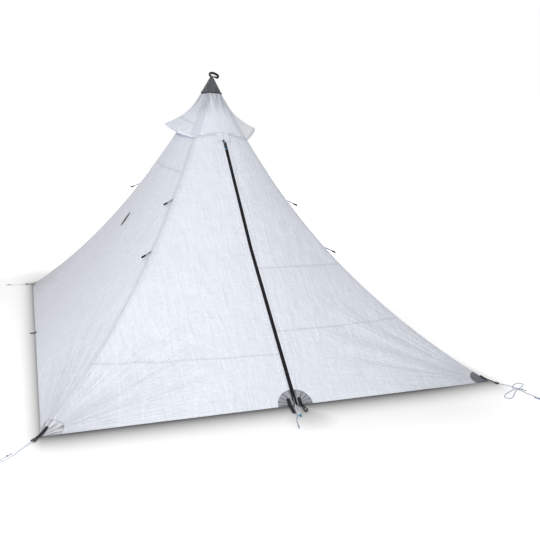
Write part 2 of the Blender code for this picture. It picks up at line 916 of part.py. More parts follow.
def slider_frame(name):
    """Middle of a slider's base, with its directions across, down and out."""
    start, inset = zip_top, slider_top_inset
    if name == "lower":
        start, inset = zip_foot, slider_foot_inset
    along, out = zip_frame(start, zip_middle)
    x = -zip_middle_gap / 2 - fit_gap - slider_width / 2
    base = start + along * inset + out * (zip_band_height + running_gap) + Vector((x, 0, 0))
    return base, Vector((1, 0, 0)), along if name == "upper" else -along, out


def pull_axis(name):
    """Middle of the bar that a pull turns on."""
    base, across, down, out = slider_frame(name)
    return base + out * (slider_plate + bridge_height - bridge_bar)


def sliders():
    """Two zip sliders with their pulls, one at each end of the zip."""
    post_height = slider_plate + bridge_height
    post_size = (slider_post_width, slider_post_length, post_height - 2 * slider_post_sink)
    post_place = pull_width / 2 + running_gap + slider_post_width / 2
    for name in ("upper", "lower"):
        base, across, down, out = slider_frame(name)
        axes = (across, down, out)
        size = (slider_width, slider_length, slider_plate)
        body = box_object("zip_slider_" + name, base + out * slider_plate / 2, axes, size, "grey_metal")
        for sign, hand in ((-1, "left"), (1, "right")):
            centre = base + out * post_height / 2 + across * sign * post_place
            post = box_object("guide_post_" + name + "_" + hand, centre, axes, post_size)
            combine(body, post, "UNION")
        rod = rod_object("guide_bar_" + name, pull_axis(name), across, bridge_bar / 2, 2 * post_place)
        combine(body, rod, "UNION")
        move_origin(body, base)
        pull(name)


def pull(name):
    """Pull tab hung on the slider's bar."""
    base, across, down, out = slider_frame(name)
    bar = pull_axis(name)
    eye = bridge_bar / 2 + running_gap
    part = rod_object("zip_pull_" + name, bar, across, eye + pull_eye_wall, pull_width, "grey_metal")
    size = (pull_width - 2 * slider_post_sink, pull_length, pull_thickness)
    centre = bar + down * (eye + pull_length / 2)
    tab = box_object("guide_tab_" + name, centre, (across, down, out), size)
    combine(part, tab, "UNION")
    hole = rod_object("guide_eye_" + name, bar, across, eye, 2 * pull_width)
    combine(part, hole, "DIFFERENCE")
    move_origin(part, bar)


def hem_tabs():
    """Folded webbing tab at the middle of the left, right and back hems."""
    above = fabric + layer_gap + webbing / 2
    for side, out in (("left", (-1, 0, 0)), ("right", (1, 0, 0)), ("back", (0, 1, 0))):
        out = Vector(out)
        across = Vector((-out.y, out.x, 0))
        share = 1 - hem_tab_rise / math.hypot(half_width, peak_height)
        start = surface(side, 0, share, above)
        bend = surface(side, 0, 1.0, above) + out * strap_bend + Vector((0, 0, strap_bend / 4))
        end = bend + out * (hem_tab_tail - strap_bend)
        path = [start, bend, mix(bend, end, 0.5), end]
        ribbon("hem_tab_" + side, path, across, hem_tab_width, webbing, "black_webbing")


# Routes of the staking lines from the hem corners
guyline_routes = {
    "front_left": (
        (-0.072, -0.096, 0.0024), (-0.090, -0.126, 0.0018), (-0.127, -0.165, 0.0018),
        (-0.140, -0.170, 0.0018), (-0.136, -0.157, 0.0018), (-0.100, -0.118, 0.0018),
    ),
    "front_right": (
        (0.040, -0.090, 0.0086), (0.054, -0.132, 0.0087), (0.064, -0.190, 0.0050),
        (0.076, -0.235, 0.0018), (0.086, -0.270, 0.0018), (0.082, -0.286, 0.0018),
        (0.074, -0.276, 0.0018), (0.069, -0.245, 0.0018),
    ),
    "back_left": (
        (-0.096, 0.018, 0.0030), (-0.140, 0.020, 0.0018), (-0.190, 0.022, 0.0018),
        (-0.205, 0.028, 0.0018), (-0.192, 0.033, 0.0018), (-0.160, 0.029, 0.0018),
    ),
    "back_right": (
        (0.062, 0.082, 0.0030), (0.086, 0.118, 0.0018), (0.112, 0.156, 0.0018),
        (0.123, 0.164, 0.0018), (0.124, 0.152, 0.0018), (0.102, 0.124, 0.0018),
    ),
}


def guylines():
    """Staking lines with their end loops, from each corner's adjuster."""
    for name, (x_sign, y_sign, toward) in corners.items():
        out = Vector((*toward, 0)).normalized()
        above = fabric + layer_gap + patch_wall + strap_gap + webbing / 2
        tip = ridge(x_sign, y_sign, 1, above)
        reach = corner_strap_tail + adjuster_length + 2 * fit_gap
        start = Vector((tip.x, tip.y, strap_ride_height)) + out * reach
        corner = Vector((x_sign * half_width, y_sign * half_depth, 0))
        knots = [start, start + out * cord_step * line_diameter]
        knots += [corner + Vector(step) for step in guyline_routes[name]]
        tube("guyline_" + name, smooth_path(knots, cord_step * line_diameter), line_diameter, "pale_line")


# Route of the bow from the front right hem corner
bow_route = (
    (0.050, -0.118, 0.0017), (0.068, -0.096, 0.0017), (0.098, -0.074, 0.0017),
    (0.132, -0.067, 0.0017), (0.144, -0.084, 0.0017), (0.116, -0.108, 0.0017),
    (0.076, -0.128, 0.0017), (0.044, -0.146, 0.0019), (0.012, -0.170, 0.0017),
    (-0.024, -0.202, 0.0017), (-0.058, -0.218, 0.0017), (-0.072, -0.200, 0.0017),
    (-0.048, -0.174, 0.0017), (-0.008, -0.153, 0.0022), (0.026, -0.142, 0.0052),
    (0.052, -0.132, 0.0056), (0.080, -0.142, 0.0040), (0.092, -0.162, 0.0017),
)


def bow():
    """Spare line at the front right, tied in a bow: one unbroken cord."""
    corner = Vector((half_width, -half_depth, 0))
    points = smooth_path([corner + Vector(step) for step in bow_route], cord_step * line_diameter)
    least = min((a - b).length for i, a in enumerate(points) for b in points[i + 4:])
    print("bow: least gap between its turns %.2f mm" % ((least - line_diameter) * 1000))
    tube("guyline_bow", points, line_diameter, "pale_line", sides=1)


# Route of the front staking line from the strap's end
front_line_route = ((0.004, -0.024, 0), (-0.014, -0.058, 0), (-0.028, -0.099, 0), (-0.040, -0.143, 0))


def front_line():
    """Staking line that starts under the end of the left door strap."""
    end = strap_end(-1)
    end.z = floor_gap + line_diameter / 2
    knots = [end + Vector((0.002, line_tuck, 0)), end + Vector((0.002, -line_tuck, 0))]
    knots += [end + Vector(step) for step in front_line_route]
    tube("guyline_front", smooth_path(knots, cord_step * line_diameter), line_diameter, "pale_line")


def tieouts():
    """Cord loops on the ridges and the lens-shaped patch on the left side."""
    places = (
        ("front_left_upper", -1, -1, upper_tieout_height),
        ("front_left_lower", -1, -1, lower_tieout_height),
        ("front_right_upper", 1, -1, upper_tieout_height),
        ("front_right_lower", 1, -1, lower_tieout_height),
        ("back_left_upper", -1, 1, far_tieout_height),
    )
    for name, x_sign, y_sign, height in places:
        share = share_at(height, front_ridge_sag if y_sign < 0 else back_ridge_sag)
        root = ridge(x_sign, y_sign, share, fabric + tieout_diameter / 3 + tieout_gap)
        down = (ridge(x_sign, y_sign, share + 0.02) - ridge(x_sign, y_sign, share - 0.02)).normalized()
        out = Vector((x_sign * 0.80, y_sign * 0.35, 0)).normalized()
        hang = (out + Vector((0, 0, -0.45))).normalized()
        half = down * tieout_spread / 2
        shape = ((-1, 0), (-1.2, 0.45), (-0.9, 0.85), (0, 1), (0.9, 0.85), (1.2, 0.45), (1, 0))
        knots = [root + half * across + hang * tieout_length * along for across, along in shape]
        points = smooth_path(knots, cord_step * tieout_diameter)
        tube("tieout_" + name, points, tieout_diameter, "black_webbing", sides=tieout_sides)
    panel_tieout()


def panel_tieout():
    """Lens-shaped reinforcement in the middle of the left side."""
    share = share_at(panel_tieout_height)
    run = (bare_surface("left", 0, share + 0.01) - bare_surface("left", 0, share - 0.01)).length / 0.02
    rows = []
    for t in spaced(-1, 1, 8):
        wide = mix(panel_patch_width / 2, panel_patch_end / 2, t * t)
        level = share + t * panel_patch_length / 2 / run
        half = wide / (half_depth * level)
        offsets = spaced(panel_patch_offset - half, panel_patch_offset + half, 2)
        rows.append([surface("left", offset, level, fabric + layer_gap) for offset in offsets])
    sheet("tieout_left_panel", rows, "black_webbing", webbing)


def hollow_rod(name, low, high, radius, bore, finish, plug=0.0):
    """Upright tube, with an optional solid end at its top."""
    profile = [(radius, low), (radius, high)]
    if plug:
        profile += [(0, high), (0, high - plug)]
    profile += [(bore, high - plug), (bore, low)]
    turned(name, profile, finish, closed=True)


def turned(name, profile, finish, closed=False):
    """Solid of revolution about the vertical axis from (radius, height) points."""
    sides = 24
    angles = [math.tau * i / sides for i in range(sides)]
    bm = bmesh.new()
    rings = []
    for radius, height in profile:
        if radius == 0:
            rings.append([bm.verts.new((0, 0, height))])
            continue
        circle = [(radius * math.cos(a), radius * math.sin(a), height) for a in angles]
        rings.append([bm.verts.new(point) for point in circle])
    pairs = list(zip(rings, rings[1:]))
    if closed:
        pairs.append((rings[-1], rings[0]))
    for first, second in pairs:
        for i in range(sides):
            j = (i + 1) % sides
            if len(first) == 1 and len(second) == 1:
                continue
            if len(first) == 1:
                bm.faces.new((first[0], second[i], second[j]))
            elif len(second) == 1:
                bm.faces.new((first[i], first[j], second[0]))
            else:
                bm.faces.new((first[i], first[j], second[j], second[i]))
    return from_bmesh(name, bm, finish, smooth=35)


def pole():
    """Telescoping centre pole with a lever clamp and a broad foot."""
    low, high = pole_upper_foot, pole_top()
    hollow_rod("pole_upper", low, high, pole_radius, pole_bore, "pole_carbon", plug=pole_end_wall)
    low, high = pole_foot_height + fit_gap, pole_upper_foot + inner_pole_overlap
    hollow_rod("pole_lower", low, high, inner_pole_radius, inner_pole_bore, "pole_carbon")
    spigot = inner_pole_bore - fit_gap
    neck = inner_pole_radius + pole_foot_neck
    spigot_top = pole_foot_height + spigot_length
    foot = (
        (0, 0), (pole_foot_radius, 0), (pole_foot_radius, pole_foot_rim),
        (pole_foot_shoulder_radius, pole_foot_shoulder), (neck, pole_foot_height),
        (spigot, pole_foot_height), (spigot, spigot_top), (0, spigot_top),
    )
    turned("pole_foot", foot, "foot_rubber")
    clamp()


clamp_bore = pole_radius + fit_gap
clamp_low = pole_upper_foot + fit_gap
lever_pin = Vector((clamp_bore + clamp_wall + clamp_lug / 2, 0, clamp_low + clamp_height / 2))


def clamp():
    """Clamp collar with two lugs, and the lever that turns between them."""
    outer = clamp_bore + clamp_wall
    clamp_top = clamp_low + clamp_height
    profile = [(clamp_bore, clamp_low), (outer, clamp_low), (outer, clamp_top), (clamp_bore, clamp_top)]
    collar = turned("pole_clamp", profile, "black_plastic", closed=True)
    upright = Vector((0, 0, 1))
    axes = (Vector((1, 0, 0)), Vector((0, 1, 0)), upright)
    between = clamp_height - 2 * clamp_lug
    size = (clamp_lug + clamp_lug_sink, clamp_lug, clamp_lug)
    for sign, name in ((-1, "low"), (1, "high")):
        centre = lever_pin + Vector((-clamp_lug_sink / 2, 0, sign * (between + clamp_lug) / 2))
        combine(collar, box_object("guide_lug_" + name, centre, axes, size), "UNION")
    hole = rod_object("guide_pin_hole", lever_pin, upright, lever_pin_radius + fit_gap, 2 * clamp_height)
    combine(collar, hole, "DIFFERENCE")
    knuckle = between - 2 * fit_gap
    barrel = clamp_lug / 2 - fit_gap
    lever = rod_object("pole_lever", lever_pin, upright, barrel, knuckle)
    shaft = rod_object("guide_lever_pin", lever_pin, upright, lever_pin_radius, clamp_height)
    combine(lever, shaft, "UNION")
    centre = lever_pin + Vector((barrel - lever_thickness / 2, lever_length / 2, 0))
    arm = box_object("guide_lever_arm", centre, axes, (lever_thickness, lever_length, knuckle))
    combine(lever, arm, "UNION")
    move_origin(lever, lever_pin)


def build():
    """Model the whole tent."""
    for old in list(bpy.data.objects):
        bpy.data.objects.remove(old)
    side_panels()
    front_panels()
    vents()
    peak()
    corner_parts()
    door_patches()
    door_straps()
    zip_bands()
    sliders()
    hem_tabs()
    guylines()
    bow()
    front_line()
    tieouts()
    pole()


build()
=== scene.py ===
# Pyramid tent: the looks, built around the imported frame
import math

import bmesh
import bpy
from mathutils import Matrix, Vector, noise


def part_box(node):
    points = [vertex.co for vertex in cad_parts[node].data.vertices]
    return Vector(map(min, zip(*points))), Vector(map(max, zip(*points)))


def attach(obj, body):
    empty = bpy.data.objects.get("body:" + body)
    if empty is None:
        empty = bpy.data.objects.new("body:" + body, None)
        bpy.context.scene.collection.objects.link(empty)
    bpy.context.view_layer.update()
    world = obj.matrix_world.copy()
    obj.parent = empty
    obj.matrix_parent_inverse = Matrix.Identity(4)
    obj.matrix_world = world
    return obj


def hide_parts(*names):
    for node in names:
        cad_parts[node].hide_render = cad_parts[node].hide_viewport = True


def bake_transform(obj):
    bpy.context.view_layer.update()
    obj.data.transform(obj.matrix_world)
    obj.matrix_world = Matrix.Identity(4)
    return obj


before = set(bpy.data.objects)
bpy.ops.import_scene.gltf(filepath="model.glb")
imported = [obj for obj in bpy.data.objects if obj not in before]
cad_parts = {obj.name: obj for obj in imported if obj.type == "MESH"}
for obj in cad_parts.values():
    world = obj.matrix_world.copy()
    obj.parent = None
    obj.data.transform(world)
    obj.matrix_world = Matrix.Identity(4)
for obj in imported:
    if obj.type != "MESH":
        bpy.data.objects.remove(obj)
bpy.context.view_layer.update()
tau = math.tau

# Camera
camera = {"place": (-1.0771, -3.8076, 1.0704), "yaw": 21.567, "pitch": -10.208, "roll": 1.951, "lens": 41.194}


def setCamera():
    yaw, pitch, roll = (math.radians(camera[name]) for name in ("yaw", "pitch", "roll"))
    ahead = Vector((math.sin(yaw) * math.cos(pitch), math.cos(yaw) * math.cos(pitch), math.sin(pitch)))
    level = Vector((math.cos(yaw), -math.sin(yaw), 0))
    above = level.cross(ahead)
    right = level * math.cos(roll) + above * math.sin(roll)
    up = above * math.cos(roll) - level * math.sin(roll)
    data = bpy.data.cameras.new("camera")
    data.lens = camera["lens"]
    made = bpy.data.objects.new("camera", data)
    turn = Matrix((right, up, -ahead)).transposed().to_4x4()
    made.matrix_world = Matrix.Translation(camera["place"]) @ turn
    bpy.context.scene.collection.objects.link(made)
    bpy.context.scene.camera = made


setCamera()
print("camera set")


# Shader maths: a wire is a socket that Python's operators work on
class Wire:
    def __init__(self, nodes, socket):
        self.nodes, self.socket = nodes, socket

    def maths(self, operation, other=0.0):
        return self.nodes.node("Math", {"operation": operation}, at0=self, at1=other)

    def __rsub__(self, other):
        return self.nodes.node("Math", {"operation": "SUBTRACT"}, at0=other, at1=self)

    def rise(self, low, high):  # 0 before low, 1 after high, smooth between
        return self.nodes.node("MapRange", {"interpolation_type": "SMOOTHSTEP"}, at0=self, at1=low, at2=high)

    def near(self, place, half, soft=0.0004):  # 1 within half of a place
        return 1 - abs(self - place).rise(half, half + soft)


wireMaths = {"ADD": "__add__ __radd__", "SUBTRACT": "__sub__", "MULTIPLY": "__mul__ __rmul__",
             "DIVIDE": "__truediv__", "LESS_THAN": "__lt__", "GREATER_THAN": "__gt__", "ABSOLUTE": "__abs__",
             "SINE": "sine", "FRACT": "part", "MINIMUM": "least", "MAXIMUM": "most"}
for operation, methods in wireMaths.items():
    for method in methods.split():
        setattr(Wire, method, lambda wire, other=0.0, operation=operation: wire.maths(operation, other))


class Nodes:
    def __init__(self, tree):
        self.tree = tree

    def feed(self, socket, value):
        if isinstance(value, Wire):
            self.tree.links.new(value.socket, socket)
        elif isinstance(value, tuple) and len(value) == 3 and socket.type == "RGBA":
            socket.default_value = (*value, 1.0)
        else:
            socket.default_value = value

    def node(self, kind, settings=None, out=0, **feeds):  # feeds go by the input's name, or at and its number
        made = self.tree.nodes.new("ShaderNode" + kind)
        for name, value in (settings or {}).items():
            setattr(made, name, value)
        for name, value in feeds.items():
            self.feed(made.inputs[int(name[2:]) if name.startswith("at") else name], value)
        return Wire(self, made.outputs[out])

    def axes(self, vector):
        split = self.node("SeparateXYZ", at0=vector)
        return [Wire(self, output) for output in split.socket.node.outputs]

    def distance(self, x, y):
        vector = self.node("CombineXYZ", at0=x, at1=y)
        return self.node("VectorMath", {"operation": "LENGTH"}, out=1, at0=vector)

    def blend(self, amount, first, second):
        return self.node("Mix", {"data_type": "RGBA"}, out=2, at0=amount, at6=first, at7=second)

    def seen(self):  # 1 for rays from the camera, off a glossy surface or through glass
        rays = self.node("LightPath")
        outputs = rays.socket.node.outputs
        glossy, through = (Wire(self, outputs["Is %s Ray" % kind]) for kind in ("Glossy", "Transmission"))
        return rays.most(glossy).most(through)


class Finish(Nodes):
    def __init__(self, name, **constants):
        self.material = bpy.data.materials.new(name)
        self.material.use_nodes = True
        super().__init__(self.material.node_tree)
        self.shader = self.tree.nodes["Principled BSDF"]
        for key, value in constants.items():
            self.surface({key.replace("_", " ").title().replace("Ior", "IOR"): value})

    def surface(self, values):
        for name, value in values.items():
            self.feed(self.shader.inputs[name], value)

    def map(self, name):  # a texture map of the piece, in metres
        vector = self.node("UVMap", {"uv_map": name})
        return vector, *self.axes(vector)[:2]

    def body(self):  # the piece's own coordinates
        return self.node("TexCoord", out=3)

    def grain(self, vector, scale, detail=2.0, roughness=0.5):
        return self.node("TexNoise", Vector=vector, Scale=scale, Detail=detail, Roughness=roughness)

    def streaks(self, vector, wide, long, turn=0.0, detail=3.0, roughness=0.6):  # stretched grain
        turned = self.node("Mapping", at0=vector, at2=(0, 0, turn), at3=(wide, long, 1))
        return self.grain(turned, 1.0, detail, roughness)

    def cover(self, colour, height, strength, distance, roughness=None):
        bump = self.node("Bump", Height=height, Strength=strength, Distance=distance)
        self.surface({"Base Color": colour, "Normal": bump})
        if roughness:
            self.surface({"Roughness": roughness})
        return self


# Canopy surface, the same as the frame's: side, offset across it (-1 to 1), share of the way from peak to hem
tent = {"halfWidth": 1.06, "halfDepth": 1.45, "peak": 1.56, "frontSag": 0.250, "backSag": 0.167,
        "skew": 0.188, "sideBillow": 0.060, "backBillow": 0.080, "yoke": 1.176, "yokeRise": 0.030,
        "yokeBillow": 0.029, "panelTop": 1.495, "cap": 1.468, "capNeck": 1.524, "seat": 1.375,
        "doorSag": 0.048, "foldTop": 0.030, "foldFoot": 0.800, "hoodReach": 0.094, "hoodLift": 0.059,
        "hoodCurves": (1.2, 2.6, 1.75), "wall": 0.0012, "layer": 0.0009}
pulls = {"depth": 0.006, "start": 0.12, "reach": 0.75, "count": 9}
slant = {"chart": 1.95, "rim": 1.85, "hem": 1.8, "tape": 2.1}  # metres from peak to hem
chartShift = {"side": 4, "hood": 8, "yoke": 12, "door": 16}  # keeps the panels' patterns apart
halfWidth, halfDepth = tent["halfWidth"], tent["halfDepth"]
heart = Vector((0, 0, tent["peak"] / 6))  # outer faces look away from it
halves = ((-1, "left"), (1, "right"))


def mix(a, b, amount):
    return a + (b - a) * amount


def ridgeHeight(share, sag=tent["frontSag"]):
    drop = 4 * sag * share * (1 - share) * (1 + tent["skew"] * (1 - 2 * share))
    return tent["peak"] * (1 - share) - drop


def shareAt(height, sag=tent["frontSag"]):
    low, high = 0.0, 1.0
    for _ in range(50):
        middle = (low + high) / 2
        low, high = (middle, high) if ridgeHeight(middle, sag) > height else (low, middle)
    return (low + high) / 2


capShare, yokeShare = shareAt(tent["cap"]), shareAt(tent["yoke"])
zipTop = Vector((0, -(halfDepth * yokeShare + tent["yokeBillow"]), tent["yoke"] + tent["yokeRise"]))
zipFoot = Vector((0, -halfDepth, 0))
zipMiddle = (zipTop + zipFoot) / 2 + Vector((0, tent["doorSag"], 0))


def frontRise(share):
    if share < yokeShare:
        return tent["yokeRise"] * share / yokeShare
    return tent["yokeRise"] * (1 - share) / (1 - yokeShare)


def frontBillow(share):
    if share < yokeShare:
        return tent["yokeBillow"] * share / yokeShare
    height = ridgeHeight(share) + frontRise(share)
    start, stop = (zipTop, zipMiddle) if height > zipMiddle.z else (zipMiddle, zipFoot)
    return -mix(start.y, stop.y, (start.z - height) / (start.z - stop.z)) - halfDepth * share


def pullFold(side, offset, share):  # pull lines that spread from the hem corners
    across = halfWidth if side in ("front", "back") else halfDepth
    along = (1 - abs(offset)) * across * share
    up = (1 - share) * math.hypot(halfWidth, halfDepth)
    outward = (math.hypot(along, up) - pulls["start"]) / (pulls["reach"] - pulls["start"])
    if not 0 < outward < 1:
        return 0.0
    angle = math.atan2(up, along) / (math.pi / 2)
    window = math.sin(math.pi * outward) * math.sin(math.pi * angle)
    return pulls["depth"] * window * math.cos(math.pi * pulls["count"] * angle)


def bareSurface(side, offset, share):
    bulge = 1 - offset * offset
    x, y = halfWidth * share, halfDepth * share
    low, high = ridgeHeight(share), ridgeHeight(share, tent["backSag"])
    if side == "front":
        return Vector((x * offset, -y - frontBillow(share) * bulge, low + frontRise(share) * bulge))
    if side == "back":
        return Vector((x * offset, y + 4 * tent["backBillow"] * share * (1 - share) * bulge, high))
    out = x + 4 * tent["sideBillow"] * share * (1 - share) * bulge
    return Vector((out if side == "right" else -out, y * offset, mix(low, high, (offset + 1) / 2)))


def surfaceNormal(side, offset, share):
    right, left = min(offset + 0.002, 1), max(offset - 0.002, -1)
    high, low = max(share - 0.002, 0.01), min(share + 0.002, 1)
    across = bareSurface(side, right, share) - bareSurface(side, left, share)
    down = bareSurface(side, offset, low) - bareSurface(side, offset, high)
    normal = across.cross(down).normalized()
    return normal if normal.z > 0 else -normal


def onSurface(side, offset, share, lift=0.0):
    return bareSurface(side, offset, share) + surfaceNormal(side, offset, share) * lift


def onRidge(xSign, ySign, share, lift=0.0):
    end, flank = "front" if ySign < 0 else "back", "right" if xSign > 0 else "left"
    first, second = surfaceNormal(end, xSign, share), surfaceNormal(flank, ySign, share)
    return bareSurface(end, xSign, share) + (first + second) / (1 + first.dot(second)) * lift


def besideRidge(xSign, ySign, reach, share, lift):  # reach below 0 lies on the end, above 0 on the flank
    if abs(reach) < 1e-6:
        return onRidge(xSign, ySign, share, lift)
    if reach < 0:
        end = "front" if ySign < 0 else "back"
        return onSurface(end, xSign * (1 + reach / (halfWidth * share)), share, lift)
    flank = "right" if xSign > 0 else "left"
    return onSurface(flank, ySign * (1 - reach / (halfDepth * share)), share, lift)


def onFront(x, share, lift):
    return onSurface("front", x / (halfWidth * share), share, lift)


def outFrom(along):  # square to a line down the front
    out = Vector((0, along.z, -along.y))
    return out if out.z > 0 else -out


def foldOffset(share):  # the line that a door half folds back along
    x = mix(tent["foldTop"], tent["foldFoot"], (tent["yoke"] - ridgeHeight(share)) / tent["yoke"])
    return x / (halfWidth * share)


# Meshes: a grid from the bmesh operator, each point moved to where place(across, down) says
def mappedGrid(columns, rows, place, maps, bm=None):
    bm = bm or bmesh.new()
    made = bmesh.ops.create_grid(bm, x_segments=columns, y_segments=rows, size=0.5)["verts"]
    spots = {}
    for v in made:
        column, row = (round((value + 0.5) * count) for value, count in zip(v.co, (columns, rows)))
        spots[v] = column / columns, row / rows
    for name, chart in maps.items():
        layer = bm.loops.layers.uv.get(name) or bm.loops.layers.uv.new(name)
        drawn = {v: chart(*spot) for v, spot in spots.items()}
        for face in {face for v in made for face in v.link_faces}:
            for loop in face.loops:
                loop[layer].uv = drawn[loop.vert]
    for v, spot in spots.items():
        v.co = place(*spot)
    return bm


def weld(bm, gap=1e-6):
    bmesh.ops.remove_doubles(bm, verts=bm.verts, dist=gap)


def faceAway(bm, faces):
    bm.normal_update()
    if sum((f.calc_center_median() - heart).dot(f.normal) * f.calc_area() for f in faces) < 0:
        bmesh.ops.reverse_faces(bm, faces=list(faces))


def makePiece(name, bm, finish, smooth=40):
    mesh = bpy.data.meshes.new(name)
    bm.to_mesh(mesh)
    bm.free()
    mesh.shade_smooth()
    mesh.set_sharp_from_angle(angle=math.radians(smooth))
    mesh.materials.append(finish.material)
    piece = bpy.data.objects.new(name, mesh)
    bpy.context.scene.collection.objects.link(piece)
    return piece


def thicken(piece, wall, offset=1.0, even=True):
    modifier = piece.modifiers.new("wall", "SOLIDIFY")
    modifier.thickness, modifier.offset, modifier.use_even_offset = wall, offset, even
    shape = bpy.data.meshes.new_from_object(piece.evaluated_get(bpy.context.evaluated_depsgraph_get()))
    piece.modifiers.clear()
    piece.data = shape
    return piece


def clothPiece(name, columns, rows, place, chart, finish, mapName="cloth"):
    bm = mappedGrid(columns, rows, place, {mapName: chart})
    weld(bm)
    faceAway(bm, bm.faces)
    return makePiece(name, bm, finish)


def areaOf(piece):
    return sum(p.area for p in piece.data.polygons)


def belong(piece, body, slot, *nodes):
    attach(piece, body)
    if nodes:
        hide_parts(*nodes)
    return piece


def smoothPath(knots, spacing, closed=False):
    knots = [Vector(k) for k in knots]
    count, dense, steps = len(knots), [], 24
    for i in range(count if closed else count - 1):
        p1, p2 = knots[i], knots[(i + 1) % count]
        p0 = knots[i - 1] if closed or i > 0 else p1 * 2 - p2
        p3 = knots[(i + 2) % count] if closed or i + 2 < count else p2 * 2 - p1
        for step in range(steps):
            t = step / steps
            b = (2 * p0 - 5 * p1 + 4 * p2 - p3) * t * t
            dense.append((2 * p1 + (p2 - p0) * t + b + (3 * p1 - p0 - 3 * p2 + p3) * t ** 3) / 2)
    dense.append(knots[0] if closed else knots[-1])
    return resampled(dense, spacing)


def resampled(dense, spacing):
    lengths = [0.0]
    for a, b in zip(dense, dense[1:]):
        lengths.append(lengths[-1] + (b - a).length)
    steps = max(2, round(lengths[-1] / spacing))
    points, index = [], 0
    for i in range(steps + 1):
        target = lengths[-1] * i / steps
        while index < len(lengths) - 2 and lengths[index + 1] < target:
            index += 1
        stretch = lengths[index + 1] - lengths[index]
        amount = min((target - lengths[index]) / stretch, 1) if stretch else 0
        points.append(mix(dense[index], dense[index + 1], amount))
    return points


def runLength(points):
    return sum((b - a).length for a, b in zip(points, points[1:]))


def roundProfile(radius, sides):
    return [(radius * math.cos(tau * i / sides), radius * math.sin(tau * i / sides)) for i in range(sides)]


def strapProfile(width, thickness, sides=20, squareness=0.35):  # flat with rounded edges
    profile = []
    for i in range(sides):
        c, s = math.cos(tau * i / sides), math.sin(tau * i / sides)
        x, y = (math.copysign(abs(value) ** squareness, value) for value in (c, s))
        profile.append((width / 2 * x, thickness / 2 * y))
    return profile


def loft(name, frames, profile, finish, girth, length, smooth=50, closed=False):
    rows, columns = len(frames) - 1, len(profile)

    def place(u, v):
        point, side, up = frames[round(v * rows)]
        x, y = profile[round(u * columns) % columns]
        return point + side * x + up * y

    bm = mappedGrid(columns, rows, place, {"run": lambda u, v: (u * girth, v * length)})
    weld(bm, 1e-7)
    if not closed:
        bmesh.ops.holes_fill(bm, edges=[e for e in bm.edges if e.is_boundary], sides=0)
    bmesh.ops.recalc_face_normals(bm, faces=bm.faces)
    return makePiece(name, bm, finish, smooth)


def sweep(name, points, profile, finish, across=None, closed=False):
    count, frames, side = len(points), [], None
    sides = across if isinstance(across, list) else [Vector(across)] * count if across else None
    for i, point in enumerate(points):
        before = points[i - 1] if closed or i > 0 else point
        after = points[(i + 1) % count] if closed or i + 1 < count else point
        ahead = (after - before).normalized()
        side = sides[i] if sides else side or ahead.cross(Vector((0.13, 0.21, 1))).normalized()
        side = (side - ahead * side.dot(ahead)).normalized()
        frames.append((point, side.copy(), ahead.cross(side)))
    if closed:
        frames.append(frames[0])
    girth = sum(math.dist(a, b) for a, b in zip(profile, profile[1:] + profile[:1]))
    return loft(name, frames, profile, finish, girth, runLength(points), closed=closed)


def strap(name, knots, size, across, body, node):
    profile = strapProfile(size["width"], size["thickness"])
    piece = sweep(name, resampled(knots, 0.0025), profile, webbing, across=across)
    return belong(piece, body, "black_webbing", node)


# Finishes
zipTopPatch = {"half": 0.042, "drop": 0.046, "taper": 0.12, "gap": 0.0003, "lift": (0.0036, 0.0022),
               "wall": 0.0005, "stitch": 0.0056, "stitchHalf": 0.0008}
white = {"lit": (0.83, 0.862, 0.93), "shade": (0.64, 0.670, 0.745), "underCapShade": (0.36, 0.38, 0.425),
         "hood": (0.95, 0.965, 1.0), "thread": (0.92, 0.94, 0.97), "middle": 0.58,
         "tone": {"fibres": 0.62, "weft": 0.62, "clouds": 0.22, "dents": 0.3, "crinkles": 0.55, "folds": 0.44,
                  "corners": 0.13, "pulled": 0.10, "hoodRidges": -0.45, "hoodStreaks": -0.16, "hemEdge": 0.35,
                  "zipBand": -0.10, "seams": -0.50, "ridges": -0.3},
         "height": {"dents": 1.6, "crinkles": 0.9, "facets": 0.35, "pucker": 0.16, "zipBand": 0.18,
                    "seams": 0.18, "weft": 0.12, "fibres": 0.08, "folds": 2.0, "creases": 0.5}}
# stitches, and the row of painted pucker highlights beside the zip
stitches = {"pitch": 0.0042, "on": 0.62, "half": 0.0004, "zipHalf": 0.0005, "seam": 0.0045, "hem": 0.0085,
            "zip": 0.0035, "ridge": 0.0065, "puckerHighlights": 0.0235, "puckerHighlightHalf": 0.0022, "pucker": 285}
creaseLook = {"sharpness": 22, "second": 0.7, "rays": 31, "stretch": 1.6, "near": (0.02, 0.10),
              "far": (0.20, 0.95)}


def weighed(start, parts, weights):  # the sum of the parts that have a weight
    for name, weight in weights.items():
        start = start + parts[name] * weight
    return start


